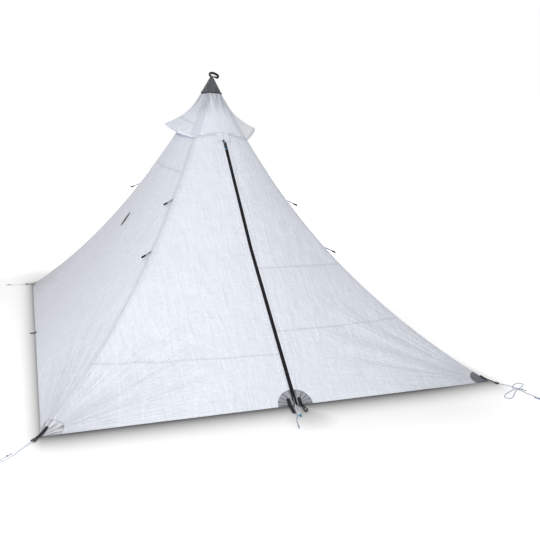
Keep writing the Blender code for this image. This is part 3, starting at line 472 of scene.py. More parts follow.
def laminateFinish():
    f = Finish("canopyLaminate", roughness=0.5)
    cloth, across, along = f.map("cloth")
    _, ridge, hem = f.map("rims")
    _, seam, zipSide = f.map("seams")
    weft = f.streaks(cloth, 7, 120, roughness=0.65) - 0.5
    first, second = (f.streaks(cloth, *place, 2, 0.5) for place in ((9, 1.3, 0.75), (10, 1.4, -0.55)))
    first, second = ((1 - abs(lines - 0.5) * creaseLook["sharpness"]).most(0) for lines in (first, second))
    creases = first + second * creaseLook["second"]
    toCorner = f.distance(ridge, hem)
    window = toCorner.rise(*creaseLook["near"]) * (1 - toCorner.rise(*creaseLook["far"]))
    spread = f.node("CombineXYZ", at0=hem.maths("ARCTAN2", ridge) * creaseLook["rays"],
                    at1=toCorner * creaseLook["stretch"], at2=across.rise(-0.1, 0.1) * 7)
    hoodEnd = yokeShare * slant["chart"]
    hoodArea = 1 - along.rise(hoodEnd - 0.01, hoodEnd)
    ridgeSoft = ridge.near(0, 0.018, 0.016)
    thread, crossThread = ((run / stitches["pitch"]).part() < stitches["on"] for run in (along, across))
    half = stitches["half"]
    stitch = (seam.near(stitches["seam"], half) + hem.near(stitches["hem"], half)) * crossThread
    upright = zipSide.near(stitches["zip"], stitches["zipHalf"]) + ridge.near(stitches["ridge"], half)
    stitch = stitch + upright * thread
    # painted highlights: a broken row of pale spots beside the zip stands in for light on the seam's puckers
    puckerHighlights = zipSide.near(stitches["puckerHighlights"], stitches["puckerHighlightHalf"]) * (f.grain(cloth, 70, 2) > 0.52)
    waves = [(run * stitches["pucker"] + f.grain(cloth, 40, 2) * 5).sine() for run in (along, across)]
    facets = f.node("TexVoronoi", {"feature": "DISTANCE_TO_EDGE"}, Vector=cloth, Scale=14.0, Randomness=1.0)
    parts = {"fibres": f.streaks(cloth, 95, 7, 0.66) + f.streaks(cloth, 95, 7, -0.66) - 1.0, "weft": weft,
             "clouds": f.grain(cloth, 3.0, 3) - 0.5, "dents": f.grain(cloth, 9, 5, 0.6) - 0.5,
             # painted light and shade: the pulled and folds parts lighten and darken the cloth along the
             # tension folds from the hem corners
             "crinkles": f.grain(cloth, 26, 5, 0.62) - 0.5, "creases": creases, "pulled": creases * window,
             "folds": (f.grain(spread, 1.0, 3, 0.6).rise(0.30, 0.70) - 0.5) * window, "corners": window,
             "hoodRidges": ridgeSoft * hoodArea,
             # painted shade: darker streaks on the hoods stand in for the shade in their wrinkles
             "hoodStreaks": f.streaks(cloth, 34, 12, 0.9).rise(0.52, 0.66) * hoodArea,
             "hemEdge": hem.near(0, 0.003, 0.004), "zipBand": zipSide.near(0, 0.020, 0.003),
             "seams": seam.near(0, 0.006), "ridges": ridgeSoft, "facets": facets.rise(0, 0.12),
             "pucker": waves[0] * (zipSide.near(0.012, 0.0, 0.03) + ridge.near(0.01, 0, 0.03)) +
             waves[1] * (seam.near(0, 0, 0.03) + hem.near(0, 0, 0.03))}
    tone = weighed(white["middle"], parts, white["tone"])
    colour = f.blend(tone.most(0).least(1), white["shade"], white["lit"])
    # painted light: the right hood is lighter, standing in for light that comes through its cloth
    colour = f.blend(across.near(chartShift["hood"], 0.6, 0.05) * hoodArea * 0.7, colour, white["hood"])
    # painted shade: grey streaks darken the cloth under the cap, standing in for the seat's shadow seen
    # through it
    underCapShade = 1 - (along - capShare * slant["chart"]).rise(0.020, 0.155)
    gathers = f.streaks(cloth, 75, 4).rise(0.38, 0.62)
    colour = f.blend((underCapShade * (0.30 + gathers * 0.95)).least(1), colour, white["underCapShade"])
    # the stitches and the painted pucker highlights take the thread colour
    colour = f.blend((stitch * 0.5 + puckerHighlights * 0.8).least(1), colour, white["thread"])
    return f.cover(colour, weighed(0.0, parts, white["height"]), 0.6, 0.004, weft * 0.2 + 0.52)


def reinforcedFinish(name, dark, pale, radial=0.0, streaked=0.0, glow=0.0):
    f = Finish(name, roughness=0.6, emission_strength=glow)
    cloth, across, along = f.map("cloth")
    thread = 0.0011
    weave = (across * tau / thread).sine() * (along * tau / thread).sine()
    mottled = f.grain(cloth, 60, 4, 0.65)
    creased = f.grain(cloth, 14, 3, 0.6)
    tone = mottled * 0.9 + weave * 0.08 + (creased - 0.5) * 0.6
    if radial:  # creases gathered towards the corner, with painted light and shade along them
        gathers = f.streaks(cloth, 85, 7, roughness=0.55).rise(0.34, 0.58)
        tone = mix(mottled * 0.7, gathers, radial)
        creased = creased + gathers * 0.8
    # painted highlights: lighter streaks stand in for light on the cap's wrinkles
    if streaked:
        wearAndHighlight = f.streaks(cloth, 150, 22, 0.7).rise(0.5, 0.72)
        tone = mix(tone, wearAndHighlight, streaked)
    colour = f.blend(tone.most(0).least(1), dark, pale)
    if glow:  # light that comes through thin cloth
        f.surface({"Emission Color": colour})
    return f.cover(colour, weave * 0.1 + mottled * 0.4 + creased, 0.5, 0.0015, mottled * 0.2 + 0.5)


def patchFinish():  # white cloth with a row of dark stitches along its edges
    f = Finish("zipTopPatch", roughness=0.5)
    cloth, across, along = f.map("cloth")
    crinkled = f.grain(cloth, 60, 4, 0.6)
    stitch, half = zipTopPatch["stitch"], zipTopPatch["stitchHalf"]
    side = across.near(zipTopPatch["half"] - 0.003, half) * ((along / stitch).part() < 0.5)
    foot = along.near(zipTopPatch["drop"] - 0.004, half) * ((across / stitch).part() < 0.5)
    edges = side.most(foot)
    plain = f.blend(crinkled, (0.66, 0.69, 0.75), (0.84, 0.87, 0.93))
    return f.cover(f.blend(edges * 0.85, plain, (0.10, 0.10, 0.12)), crinkled - edges * 0.5, 0.5, 0.002)


def webbingFinish(name, dark, pale, rib=0.0021, yarn=0.0016):
    f = Finish(name, roughness=0.75, specular_ior_level=0.2)
    run, across, along = f.map("run")
    yarns = (across * tau / yarn).sine()
    ribs = (along * tau / rib + yarns * 1.2).sine()
    colour = f.blend((ribs * 0.3 + 0.35 + f.grain(run, 400, 2) * 0.3).least(1), dark, pale)
    return f.cover(colour, ribs * 0.5 + yarns * 0.3, 0.6, 0.0005, ribs * 0.08 + 0.72)


def braidFinish(name, base, tracer, pitch=0.0034, girth=0.0088):
    f = Finish(name, roughness=0.6, sheen_weight=0.15)
    _, around, along = f.map("run")
    length, turn = along * (tau / pitch), around * (tau * 2 / girth)
    strands = (length + turn).sine() * (length - turn).sine()
    return f.cover(f.blend(strands.rise(0.15, 0.5), base, tracer), strands, 0.6, 0.0004)


def mouldedFinish(name, dark, pale, roughness=0.45):
    f = Finish(name)
    body = f.body()
    speck = f.grain(body, 900, 2)
    wearAndHighlight = f.grain(body, 60, 3).rise(0.35, 0.75)
    return f.cover(f.blend(wearAndHighlight, dark, pale), speck, 0.15, 0.0003, (speck - 0.5) * 0.2 + roughness)


def castFinish(name, dark, pale):
    f = Finish(name, metallic=1.0)
    body = f.body()
    cloudy = f.grain(body, 160, 4)
    return f.cover(f.blend(cloudy, dark, pale), f.grain(body, 1200, 2), 0.1, 0.0002, cloudy * 0.2 + 0.3)


def carbonFinish(tubeRadius=0.010, tow=0.004):
    f = Finish("poleCarbon", coat_weight=0.4, coat_roughness=0.2)
    x, y, z = f.axes(f.body())
    around = y.maths("ARCTAN2", x) * tubeRadius
    twill, cross = ((lean / tow).part() < 0.5 for lean in (around + z, around - z))
    weave = abs(twill - cross)
    colour = f.blend(weave, (0.018, 0.018, 0.020), (0.05, 0.05, 0.055))
    return f.cover(colour, weave, 0.1, 0.0002, weave * 0.12 + 0.3)


def nettingFinish(mesh=0.0022):
    # painted light: the netting glows faintly, standing in for light that comes through the hood's thin cloth
    f = Finish("ventNetting", roughness=0.8, emission_strength=0.40)
    cloth, across, along = f.map("cloth")
    threads = ((across / mesh).part() < 0.3).most((along / mesh).part() < 0.3)
    colour = f.blend(f.grain(cloth, 500, 2), (0.76, 0.785, 0.82), (0.86, 0.88, 0.91))
    f.surface({"Emission Color": colour, "Alpha": threads * 0.14 + 0.86})
    return f.cover(colour, threads, 0.3, 0.0003)


laminate = laminateFinish()
darkCloth = reinforcedFinish("darkReinforcement", (0.030, 0.032, 0.040), (0.185, 0.195, 0.225), streaked=0.62)
footCloth = reinforcedFinish("footReinforcement", (0.035, 0.037, 0.045), (0.40, 0.42, 0.46), radial=0.85)
greyCloth = reinforcedFinish("greyReinforcement", (0.085, 0.090, 0.108), (0.74, 0.765, 0.81), radial=0.80)
shadeCloth = reinforcedFinish("shadedReinforcement", (0.040, 0.043, 0.055), (0.19, 0.20, 0.235), radial=0.85)
tapeCloth = reinforcedFinish("seamTape", (0.58, 0.605, 0.655), (0.70, 0.725, 0.77))
brimCloth = reinforcedFinish("brimTape", (0.66, 0.685, 0.73), (0.78, 0.805, 0.85), glow=0.25)
patchCloth = patchFinish()
webbing = webbingFinish("blackWebbing", (0.006, 0.006, 0.008), (0.030, 0.029, 0.034))
zipCloth = webbingFinish("zipTape", (0.003, 0.003, 0.005), (0.010, 0.010, 0.015))
blueLine = braidFinish("paleBraid", (0.54, 0.64, 0.75), (0.08, 0.21, 0.42))
frontBraid = braidFinish("frontBraid", (0.19, 0.30, 0.45), (0.03, 0.09, 0.22))
whiteLine = braidFinish("whiteBraid", (0.80, 0.83, 0.87), (0.45, 0.55, 0.68))
knotLine = braidFinish("knotBraid", (0.10, 0.16, 0.27), (0.40, 0.50, 0.62))
darkLine = braidFinish("darkCord", (0.030, 0.031, 0.034), (0.12, 0.125, 0.135), 0.003, 0.0082)
greyCord = braidFinish("greyCord", (0.13, 0.135, 0.15), (0.30, 0.31, 0.33), 0.003, 0.0082)
blackPlastic = mouldedFinish("blackPlastic", (0.012, 0.012, 0.013), (0.035, 0.035, 0.038))
coilPlastic = mouldedFinish("zipCoil", (0.008, 0.008, 0.009), (0.022, 0.022, 0.024), 0.35)
blueTip = mouldedFinish("bluePullTip", (0.012, 0.18, 0.32), (0.020, 0.26, 0.44), 0.5)
greyMetal = castFinish("greyMetal", (0.10, 0.103, 0.11), (0.22, 0.225, 0.235))
rubber = mouldedFinish("footRubber", (0.018, 0.018, 0.018), (0.04, 0.04, 0.04), 0.8)
carbon = carbonFinish()
netting = nettingFinish()
print("finishes made")

# Cords: the frame's routes, from each hem corner's adjuster
cords = {"diameter": 0.0028, "step": 2.8, "sides": 10, "rideHeight": 0.0070, "reach": 0.0546,
         "cornerLift": 0.0041, "turn": 0.0068, "spacing": 0.0030, "ground": 0.0003, "tip": 0.0017}
knot = {"turns": 3, "steps": 48, "length": 0.0075, "radius": 0.0018, "cord": 0.0012, "height": 0.0034}
cornerPlaces = {"front_left": (-1, -1, (-0.53, -0.85)), "front_right": (1, -1, (0.30, -0.95)),
                "back_left": (-1, 1, (-0.97, 0.22)), "back_right": (1, 1, (0.60, 0.80))}
cordRoutes = {  # steps from the hem corner, on the ground where they give no height
    "front_left": ((-0.072, -0.096, 0.0024), (-0.090, -0.126), (-0.127, -0.165), (-0.136, -0.157),
                   (-0.100, -0.118)),
    "front_right": ((0.040, -0.090, 0.0086), (0.054, -0.132, 0.0087), (0.064, -0.190, 0.0050),
                    (0.076, -0.235), (0.086, -0.274), (0.074, -0.276), (0.066, -0.242)),
    "back_left": ((-0.096, 0.018, 0.0030), (-0.140, 0.020), (-0.193, 0.022), (-0.192, 0.033),
                  (-0.160, 0.035)),
    "back_right": ((0.062, 0.082, 0.0030), (0.086, 0.118), (0.115, 0.158), (0.124, 0.152), (0.100, 0.121))}
bowRoute = ((0.050, -0.118), (0.068, -0.096), (0.098, -0.074), (0.132, -0.067), (0.144, -0.084),
            (0.116, -0.108), (0.076, -0.128), (0.044, -0.146, 0.0019), (0.012, -0.170), (-0.024, -0.202),
            (-0.058, -0.218), (-0.072, -0.200), (-0.048, -0.174), (-0.008, -0.153, 0.0022),
            (0.026, -0.142, 0.0052), (0.052, -0.132, 0.0056), (0.080, -0.142, 0.0040), (0.092, -0.162))
frontLineRoute = ((0.002, 0.004), (0.002, -0.004), (0.004, -0.024), (-0.014, -0.058), (-0.028, -0.099),
                  (-0.040, -0.143))
leftStrapEnd, rightStrapEnd = Vector((-0.044, -1.534, 0.0042)), Vector((0.022, -1.490, 0.0042))


def tail(steps):  # the last two steps lie beside the line, past a half circle
    *run, toward, end = steps
    ahead = (run[-1] - run[-2]).normalized()
    side = toward - run[-1]
    side = (side - ahead * side.dot(ahead)).normalized()
    for i in range(1, 7):
        angle = tau * i / 12
        run.append(steps[-3] + (side * (1 - math.cos(angle)) + ahead * math.sin(angle)) * cords["turn"])
    return run + [end]


def cordPiece(name, knots):
    points = smoothPath(knots, cords["spacing"])
    braid = frontBraid if name in ("front", "front_right", "bow") else blueLine
    piece = sweep("guyCord_" + name, points, roundProfile(cords["diameter"] / 2, cords["sides"]), braid)
    belong(piece, "canopy", "pale_line", "guyline_" + name)
    length = round(runLength(points), 3)
    ends = [cordKnot("guyKnot_" + name, points), cordTip("guyTip_" + name, points)]
    for end in ends:
        belong(end, "canopy", "pale_line")
    tuple(knots[0])
    print(name, length)


def cordKnot(name, points):  # turns of the line's end around itself
    at = max(2, len(points) - 8)
    middle, ahead = points[at], (points[at + 1] - points[at - 1]).normalized()
    side = ahead.cross(Vector((0, 0, 1))).normalized()
    up = side.cross(ahead)
    middle = middle + Vector((0, 0, max(knot["height"] - middle.z, 0)))
    turns = []
    for i in range(knot["steps"] + 1):
        angle = tau * knot["turns"] * i / knot["steps"]
        around = (side * math.cos(angle) + up * math.sin(angle)) * knot["radius"]
        turns.append(middle + ahead * (i / knot["steps"] - 0.5) * knot["length"] + around)
    return sweep(name, turns, roundProfile(knot["cord"], 8), knotLine)


def cordTip(name, points):  # dark sleeve over the cut end
    return sweep(name, resampled(points[-4:], 0.0012), roundProfile(cords["tip"], 12), darkLine)


def routed(start, route, height):
    return [start + Vector((*step, height)[:3]) for step in route]


def guylines():
    for name, (xSign, ySign, toward) in cornerPlaces.items():
        out = Vector((*toward, 0)).normalized()
        tip = onRidge(xSign, ySign, 1, cords["cornerLift"])
        start = Vector((tip.x, tip.y, cords["rideHeight"])) + out * cords["reach"]
        corner = Vector((xSign * halfWidth, ySign * halfDepth, 0))
        knots = [start, start + out * cords["step"] * cords["diameter"]]
        cordPiece(name, knots + tail(routed(corner, cordRoutes[name], 0.0018)))
    cordPiece("bow", routed(Vector((halfWidth, -halfDepth, 0)), bowRoute, 0.0017))
    start = Vector((leftStrapEnd.x, leftStrapEnd.y, cords["ground"] + cords["diameter"] / 2))
    cordPiece("front", routed(start, frontLineRoute, 0))


guylines()
print("cords made")

# Canopy cloth: one sheet for the sides, back, yoke and hoods, and one for each door half with its strip
zipLine = {"gap": 0.0003, "tapeWidth": 0.0098, "cover": 0.0092, "overTape": 0.0016, "ramp": 0.012}
canopy = {"lift": 0.0003, "cloth": 0.0006, "sideColumns": 120, "backColumns": 84, "yokeColumns": 64,
          "doorColumns": 104, "upperRows": 26, "lowerRows": 100, "dent": 0.0026, "crease": 0.0016,
          "dents": ((6.3, (3, 1, 7), 0.6), (14, (9, 4, 2), 0.4)), "creases": (9.0, (5, 8, 1), 3.2),
          "ridgeFade": 0.07, "hemFade": 0.05, "zipFade": 0.04, "cornerFade": (0.09, 0.06),
          "footFade": (0.078, 0.05)}
seamLevels = {"left": (0.245,), "right": (0.245,), "back": (0.245, 0.62),
              "hood": (mix(capShare, yokeShare, 0.74),),
              "front_left": (shareAt(0.17),), "front_right": (shareAt(0.50), shareAt(0.25))}


def levelsBetween(stops, rows):
    stops = sorted(set(stops))
    levels = [stops[0]]
    for low, high in zip(stops, stops[1:]):
        steps = max(1, round(rows * (high - low) / (stops[-1] - stops[0])))
        levels += [mix(low, high, (i + 1) / steps) for i in range(steps)]
    return levels


upperStops = [shareAt(tent["panelTop"]), capShare, *seamLevels["hood"], yokeShare]
lowerSeams = [share for name in ("left", "back", "front_left", "front_right") for share in seamLevels[name]]
upperLevels = levelsBetween(upperStops, canopy["upperRows"])
lowerLevels = levelsBetween([yokeShare, 1.0, *lowerSeams], canopy["lowerRows"])


def ramp(value, start, length):
    return min(1, max(0, (value - start) / length))


def bumpy(point, scale, shift):
    return noise.noise(point * scale + Vector(shift))


def relief(side, offset, share, fade=1.0):  # folds and dents of the stretched cloth
    across = halfWidth if side in ("front", "back") else halfDepth
    toRidge = (1 - abs(offset)) * across * share
    toHem = (1 - share) * slant["hem"]
    fade *= ramp(toRidge, 0, canopy["ridgeFade"]) * ramp(toHem, 0, canopy["hemFade"])
    fade *= ramp(math.hypot(toRidge, toHem), *canopy["cornerFade"])
    if side == "front":
        fade *= ramp(math.hypot(offset * halfWidth * share, toHem), *canopy["footFade"])
    point = bareSurface(side, offset, share)
    dent = sum(bumpy(point, scale, shift) * weight for scale, shift, weight in canopy["dents"])
    scale, shift, sharpness = canopy["creases"]
    crease = max(0, 1 - abs(bumpy(point, scale, shift)) * sharpness) ** 3
    return pullFold(side, offset, share) + fade * (dent * canopy["dent"] + crease * canopy["crease"])


def hoodPlace(side, offset, share, lift):
    amount = max(0, (share - capShare) / (yokeShare - capShare))
    edgeCurve, reachCurve, liftCurve = tent["hoodCurves"]
    spread = 1 - abs(offset) ** edgeCurve
    out = tent["hoodReach"] * spread * amount ** reachCurve
    up = tent["hoodLift"] * spread * amount ** liftCurve
    return onSurface(side, offset, share, lift) + Vector((out if side == "right" else -out, 0, up))


def panelPlace(side, hooded=False):
    def place(offset, share):
        if abs(offset) > 0.9999:
            xSign = {"left": -1, "right": 1}.get(side) or math.copysign(1, offset)
            ySign = {"front": -1, "back": 1}.get(side) or math.copysign(1, offset)
            return onRidge(xSign, ySign, share, canopy["lift"])
        if hooded:
            return hoodPlace(side, offset, share, canopy["lift"])
        return onSurface(side, offset, share, canopy["lift"] + relief(side, offset, share))

    return place


def panelCharts(across, seams, shift, zipEdge=None):
    def seamChart(offset, share):
        nearest = min([abs(share - seam) * slant["rim"] for seam in seams] + [1.0])
        return nearest, abs(offset) * across * share - zipEdge if zipEdge else 1.0

    return {"cloth": lambda offset, share: (shift + offset * across * share, share * slant["chart"]),
            "rims": lambda offset, share: ((1 - abs(offset)) * across * share, (1 - share) * slant["rim"]),
            "seams": seamChart}


def addPanel(bm, columns, levels, place, charts, offsetAt=lambda u, share: 2 * u - 1):
    rows = len(levels) - 1

    def onGrid(draw):  # a function of offset and share, asked by the grid's own spots
        return lambda u, v: draw(offsetAt(u, levels[round(v * rows)]), levels[round(v * rows)])

    before = set(bm.faces)
    mappedGrid(columns, rows, onGrid(place), {name: onGrid(chart) for name, chart in charts.items()}, bm)
    faceAway(bm, set(bm.faces) - before)


def canopyShell():
    bm = bmesh.new()
    allLevels = upperLevels[:-1] + lowerLevels
    for sign, side in halves:
        charts = panelCharts(halfDepth, seamLevels[side], sign * chartShift["side"])
        addPanel(bm, canopy["sideColumns"], lowerLevels, panelPlace(side), charts)
        charts = panelCharts(halfDepth, seamLevels["hood"], sign * chartShift["hood"])
        addPanel(bm, canopy["sideColumns"], upperLevels, panelPlace(side, True), charts)
    charts = panelCharts(halfWidth, seamLevels["back"], 0)
    addPanel(bm, canopy["backColumns"], allLevels, panelPlace("back"), charts)
    charts = panelCharts(halfWidth, (), chartShift["yoke"])
    addPanel(bm, canopy["yokeColumns"], upperLevels, panelPlace("front"), charts)
    weld(bm, 2e-5)
    piece = makePiece("canopyShell", bm, laminate, 50)
    area = areaOf(piece)
    thicken(piece, canopy["cloth"])
    belong(piece, "canopy", "canopy_fabric", "left_panel", "right_panel", "back_panel", "front_yoke",
           "vent_hood_left", "vent_hood_right")
    return piece, area


def foldBlend(piece, sign, half=0.02):  # finds points on the door half's fold line, then only bakes the piece's transform
    foot, top = (onSurface("front", sign * foldOffset(s), s, 0.003) for s in (1.0, yokeShare))
    inward = (top - foot).normalized().cross(surfaceNormal("front", sign * foldOffset(0.6), 0.6))
    inward = inward.normalized() * (half if inward.x * sign < 0 else -half)
    middle = (foot + top) / 2
    tuple(middle - inward)
    tuple(middle + inward)
    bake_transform(piece)


def doorSheet(sign, name):
    edge = zipLine["cover"]

    def place(offset, share):
        if abs(offset) > 0.9999:
            return onRidge(sign, -1, share, canopy["lift"])
        toZip = abs(offset) * halfWidth * share - edge
        over = zipLine["overTape"] * max(0, 1 - toZip / zipLine["ramp"])  # the edge lies over the zip's tape
        fade = ramp(toZip, 0, canopy["zipFade"])
        return onSurface("front", offset, share, canopy["lift"] + over + relief("front", offset, share, fade))

    bm = bmesh.new()
    charts = panelCharts(halfWidth, seamLevels["front_" + name], sign * chartShift["door"], edge)
    addPanel(bm, canopy["doorColumns"], lowerLevels, place, charts,
             lambda u, share: sign * mix(1.0, edge / (halfWidth * share), u))
    piece = makePiece("doorSheet_" + name, bm, laminate, 50)
    area = areaOf(piece)
    foldBlend(thicken(piece, canopy["cloth"]), sign)
    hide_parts("front_strip_" + name, "door_" + name)
    return piece, area


shell, shellArea = canopyShell()
doorSheets = {name: doorSheet(sign, name) for sign, name in halves}
print("canopy made: %.2f m2, doors %.2f m2 each" % (shellArea, doorSheets["left"][1]))

# Seam tapes over the ridges and along the yoke's arc
tapes = {"half": 0.007, "lift": 0.0010, "wall": 0.0003, "rows": 110, "columns": 6, "foot": 0.956,
         "arc": 0.012, "arcEnd": 0.985}


def tapePiece(name, columns, rows, place, chart):
    piece = clothPiece(name, columns, rows, place, chart, tapeCloth)
    belong(thicken(piece, tapes["wall"]), "canopy", "grey_fabric")


def ridgeTape(xSign, ySign, name, low, high):
    def place(u, v):
        return besideRidge(xSign, ySign, (2 * u - 1) * tapes["half"], mix(low, high, v), tapes["lift"])

    tapePiece("ridgeTape_" + name, tapes["columns"], tapes["rows"], place,
              lambda u, v: (u * tapes["half"] * 2, mix(low, high, v) * slant["tape"]))


def yokeTape():
    def place(u, v):
        share = yokeShare + (v - 0.5) * tapes["arc"] / slant["tape"]
        return onSurface("front", (2 * u - 1) * tapes["arcEnd"], share, tapes["lift"])

    tapePiece("yokeTape", 48, 3, place, lambda u, v: (u * 0.4, v * tapes["arc"]))


for name, (xSign, ySign, toward) in cornerPlaces.items():
    ridgeTape(xSign, ySign, name, yokeShare, tapes["foot"])
yokeTape()


# Peak: dark cap with a bound edge, the loop on it and the seat under it
peak = {"wall": 0.0016, "tipRadius": 0.0056, "shoulderRadius": 0.008, "shoulderDrop": 0.006, "columns": 96,
        "rows": 18, "binding": 0.0048, "dip": 0.004, "drop": 0.0065, "gather": 0.0005, "gathers": 14,
        "seatWall": 0.0012, "seatGap": 0.0012}
peakRoute = {"drop": 0.0060, "width": 0.0145, "thickness": 0.0024, "tilt": 72, "flat": 0.013,
             "middle": (0.014, 0, 0.006), "root": (0.008, 0, 0),
             "knots": ((-0.002, 0), (-0.012, 0.007), (-0.010, 0.018), (0.006, 0.021), (0.028, 0.015),
                       (0.040, 0.006), (0.034, -0.005), (0.016, -0.001))}


def ringPlace(u, share, lift):  # around all four sides, starting at the front left corner
    index = min(3, int(u * 4 + 1e-9))
    offset = (2 * (u * 4 - index) - 1) * (1 if index < 2 else -1)
    if abs(offset) > 0.9999:
        xSign, ySign = ((offset, -1), (1, offset), (offset, 1), (-1, offset))[index]
        return onRidge(round(xSign), round(ySign), share, lift)
    return onSurface(("front", "right", "back", "left")[index], offset, share, lift)


def conePiece(name, columns, rows, place, size, top, wall, node):  # closed at its top
    bm = mappedGrid(columns, rows, place, {"cloth": lambda u, v: (u * size[0], v * size[1])})
    weld(bm)
    rim = [e for e in bm.edges if e.is_boundary and e.verts[0].co.z > top]
    bmesh.ops.holes_fill(bm, edges=rim, sides=0)
    faceAway(bm, bm.faces)
    belong(thicken(makePiece(name, bm, darkCloth), wall, -1.0, False), "canopy", "grey_fabric", node)


def peakCap():
    neckShare, crown = shareAt(tent["capNeck"]), Vector((0, 0, tent["peak"]))
    outer = tent["wall"] + tent["layer"] + peak["wall"]
    shoulderStop, neckStop = 0.1, 0.4

    def edgeShare(u):  # the lower edge hangs deeper between the ridges
        return capShare + peak["drop"] + peak["dip"] * math.sin(math.pi * (u * 4 % 1))

    def place(u, v):
        angle = math.radians(225) + tau * u
        turn = Vector((math.cos(angle), math.sin(angle), 0))
        tip = turn * peak["tipRadius"] + crown
        shoulder = turn * peak["shoulderRadius"] + crown - Vector((0, 0, peak["shoulderDrop"]))
        if v < shoulderStop:
            return mix(tip, shoulder, v / shoulderStop)
        if v < neckStop:
            amount = (v - shoulderStop) / (neckStop - shoulderStop)
            return mix(shoulder, ringPlace(u, neckShare, outer), amount)
        amount = (v - neckStop) / (1 - neckStop)
        gather = peak["gather"] * math.sin(u * tau * peak["gathers"]) * amount
        return ringPlace(u, mix(neckShare, edgeShare(u), amount), outer + gather)

    conePiece("peakCap", peak["columns"], peak["rows"], place, (0.3, 0.11), tent["peak"] - 0.001,
              peak["wall"] - 0.0002, "peak_cap")
    turns = [i / peak["columns"] for i in range(peak["columns"])]
    edge = [ringPlace(u, edgeShare(u), outer - 0.0006) for u in turns]
    binding = sweep("capBinding", edge, roundProfile(peak["binding"] / 2, 10), webbing, closed=True)
    belong(binding, "canopy", "black_webbing")


def peakLoop():
    base = Vector((0, 0, tent["peak"] - peakRoute["drop"]))
    middle, root = (base + Vector(peakRoute[name]) for name in ("middle", "root"))
    points = smoothPath([base + Vector((x, 0, z)) for x, z in peakRoute["knots"]], 0.002, closed=True)[:-1]
    sides = []
    for point in points:  # the webbing lies flat on the peak and turns as it leaves it
        tilt = math.radians(peakRoute["tilt"]) * ramp((point - root).length, 0, peakRoute["flat"])
        sides.append(Vector((0, math.cos(tilt), 0)) + (middle - point).normalized() * math.sin(tilt))
    profile = strapProfile(peakRoute["width"], peakRoute["thickness"])
    loop = sweep("peakLoop", points, profile, webbing, across=sides, closed=True)
    belong(loop, "canopy", "black_webbing", "peak_loop")


def peakSeat():
    low, high = shareAt(tent["panelTop"]), shareAt(tent["seat"])
    conePiece("peakSeat", 64, 16, lambda u, v: ringPlace(u, mix(low, high, v), -peak["seatGap"]), (0.5, 0.13),
              tent["panelTop"] - 0.01, peak["seatWall"], "pole_seat")


peakCap()
peakLoop()
peakSeat()
print("peak made")


# Vents: netting behind each opening and the brim along each hood
vent = {"side": 0.005, "top": 0.0005, "foot": 0.004, "depth": -0.0009, "wall": 0.0004, "size": (0.48, 0.17),
        "chart": (0.48, 0.16), "leastArea": 0.0246, "brimEnd": 0.012, "brimRadius": 0.0025,
        "brimDrop": 0.0037, "brimLift": 0.0006, "brimSteps": 60}


def vents():
    top, foot = shareAt(tent["seat"]) + vent["top"], yokeShare + vent["foot"]
    end = 1 - vent["brimEnd"] / (halfDepth * yokeShare)
    steps = vent["brimSteps"]
    for side in ("left", "right"):
        def place(u, v):
            share = mix(top, foot, v)
            reach = 1 - vent["side"] / (halfDepth * share)
            return onSurface(side, (2 * u - 1) * reach, share, vent["depth"])

        chart = lambda u, v: (u * vent["chart"][0], v * vent["chart"][1])
        piece = clothPiece("ventNetting_" + side, 40, 24, place, chart, netting)
        belong(thicken(piece, vent["wall"]), "canopy", "vent_netting", "vent_netting_" + side)
        offsets = [mix(-end, end, i / steps) for i in range(steps + 1)]
        hem = [hoodPlace(side, offset, yokeShare, vent["brimLift"]) for offset in offsets]
        points = [point - Vector((0, 0, vent["brimDrop"])) for point in hem]
        brim = sweep("ventBrim_" + side, points, roundProfile(vent["brimRadius"], 12), brimCloth)
        brim.data.uv_layers[0].name = "cloth"
        belong(brim, "canopy", "grey_fabric", "vent_brim_" + side)


vents()

# Hem corners: fan patches, webbing straps and adjusters
corner = {"radius": 0.086, "columns": 88, "lift": 0.0012, "wall": 0.0005, "scallops": 11,
          "scallopDepth": 0.022, "narrowing": 0.13, "strapReach": 0.048, "strapTail": 0.034,
          "strapLift": 0.0041, "width": 0.0135, "thickness": 0.0018, "bend": (0.002, 0.004)}


def fanPatch(name, centre, place, size, finish, columns):
    piece = clothPiece(name, columns, 14, lambda u, v: centre if v == 0 else place(u, v * size),
                       lambda u, v: (u * size * 1.57, v * size), finish)
    return thicken(piece, corner["wall"])


def hemCorners():
    lift, above, reach = corner["lift"], corner["strapLift"], corner["strapReach"]
    for name, (xSign, ySign, toward) in cornerPlaces.items():
        run = (onRidge(xSign, ySign, 0.95) - onRidge(xSign, ySign, 1.0)).length / 0.05

        def place(u, radius):
            angle = math.pi * u
            radius *= 1 - corner["scallopDepth"] * abs(math.sin(corner["scallops"] * angle))
            radius *= 1 - corner["narrowing"] * abs(math.cos(angle))
            share = 1 - radius * math.sin(angle) / run
            return besideRidge(xSign, ySign, -radius * math.cos(angle), share, lift)

        centre, cloth = onRidge(xSign, ySign, 1, lift), greyCloth if xSign < 0 else shadeCloth
        patch = fanPatch("cornerPatch_" + name, centre, place, corner["radius"], cloth, corner["columns"])
        belong(patch, "canopy", "grey_fabric", "corner_patch_" + name)
        out, (ahead, up) = Vector((*toward, 0)).normalized(), corner["bend"]
        start, halfWay, tip = (onRidge(xSign, ySign, 1 - back / run, above) for back in (reach, reach / 2, 0))
        stop = Vector((tip.x, tip.y, cords["rideHeight"])) + out * corner["strapTail"]
        knots = [start, halfWay, tip + Vector((0, 0, up)) + out * ahead, stop]
        strap("cornerStrap_" + name, knots, corner, (-out.y, out.x, 0), "canopy", "corner_strap_" + name)


hemCorners()


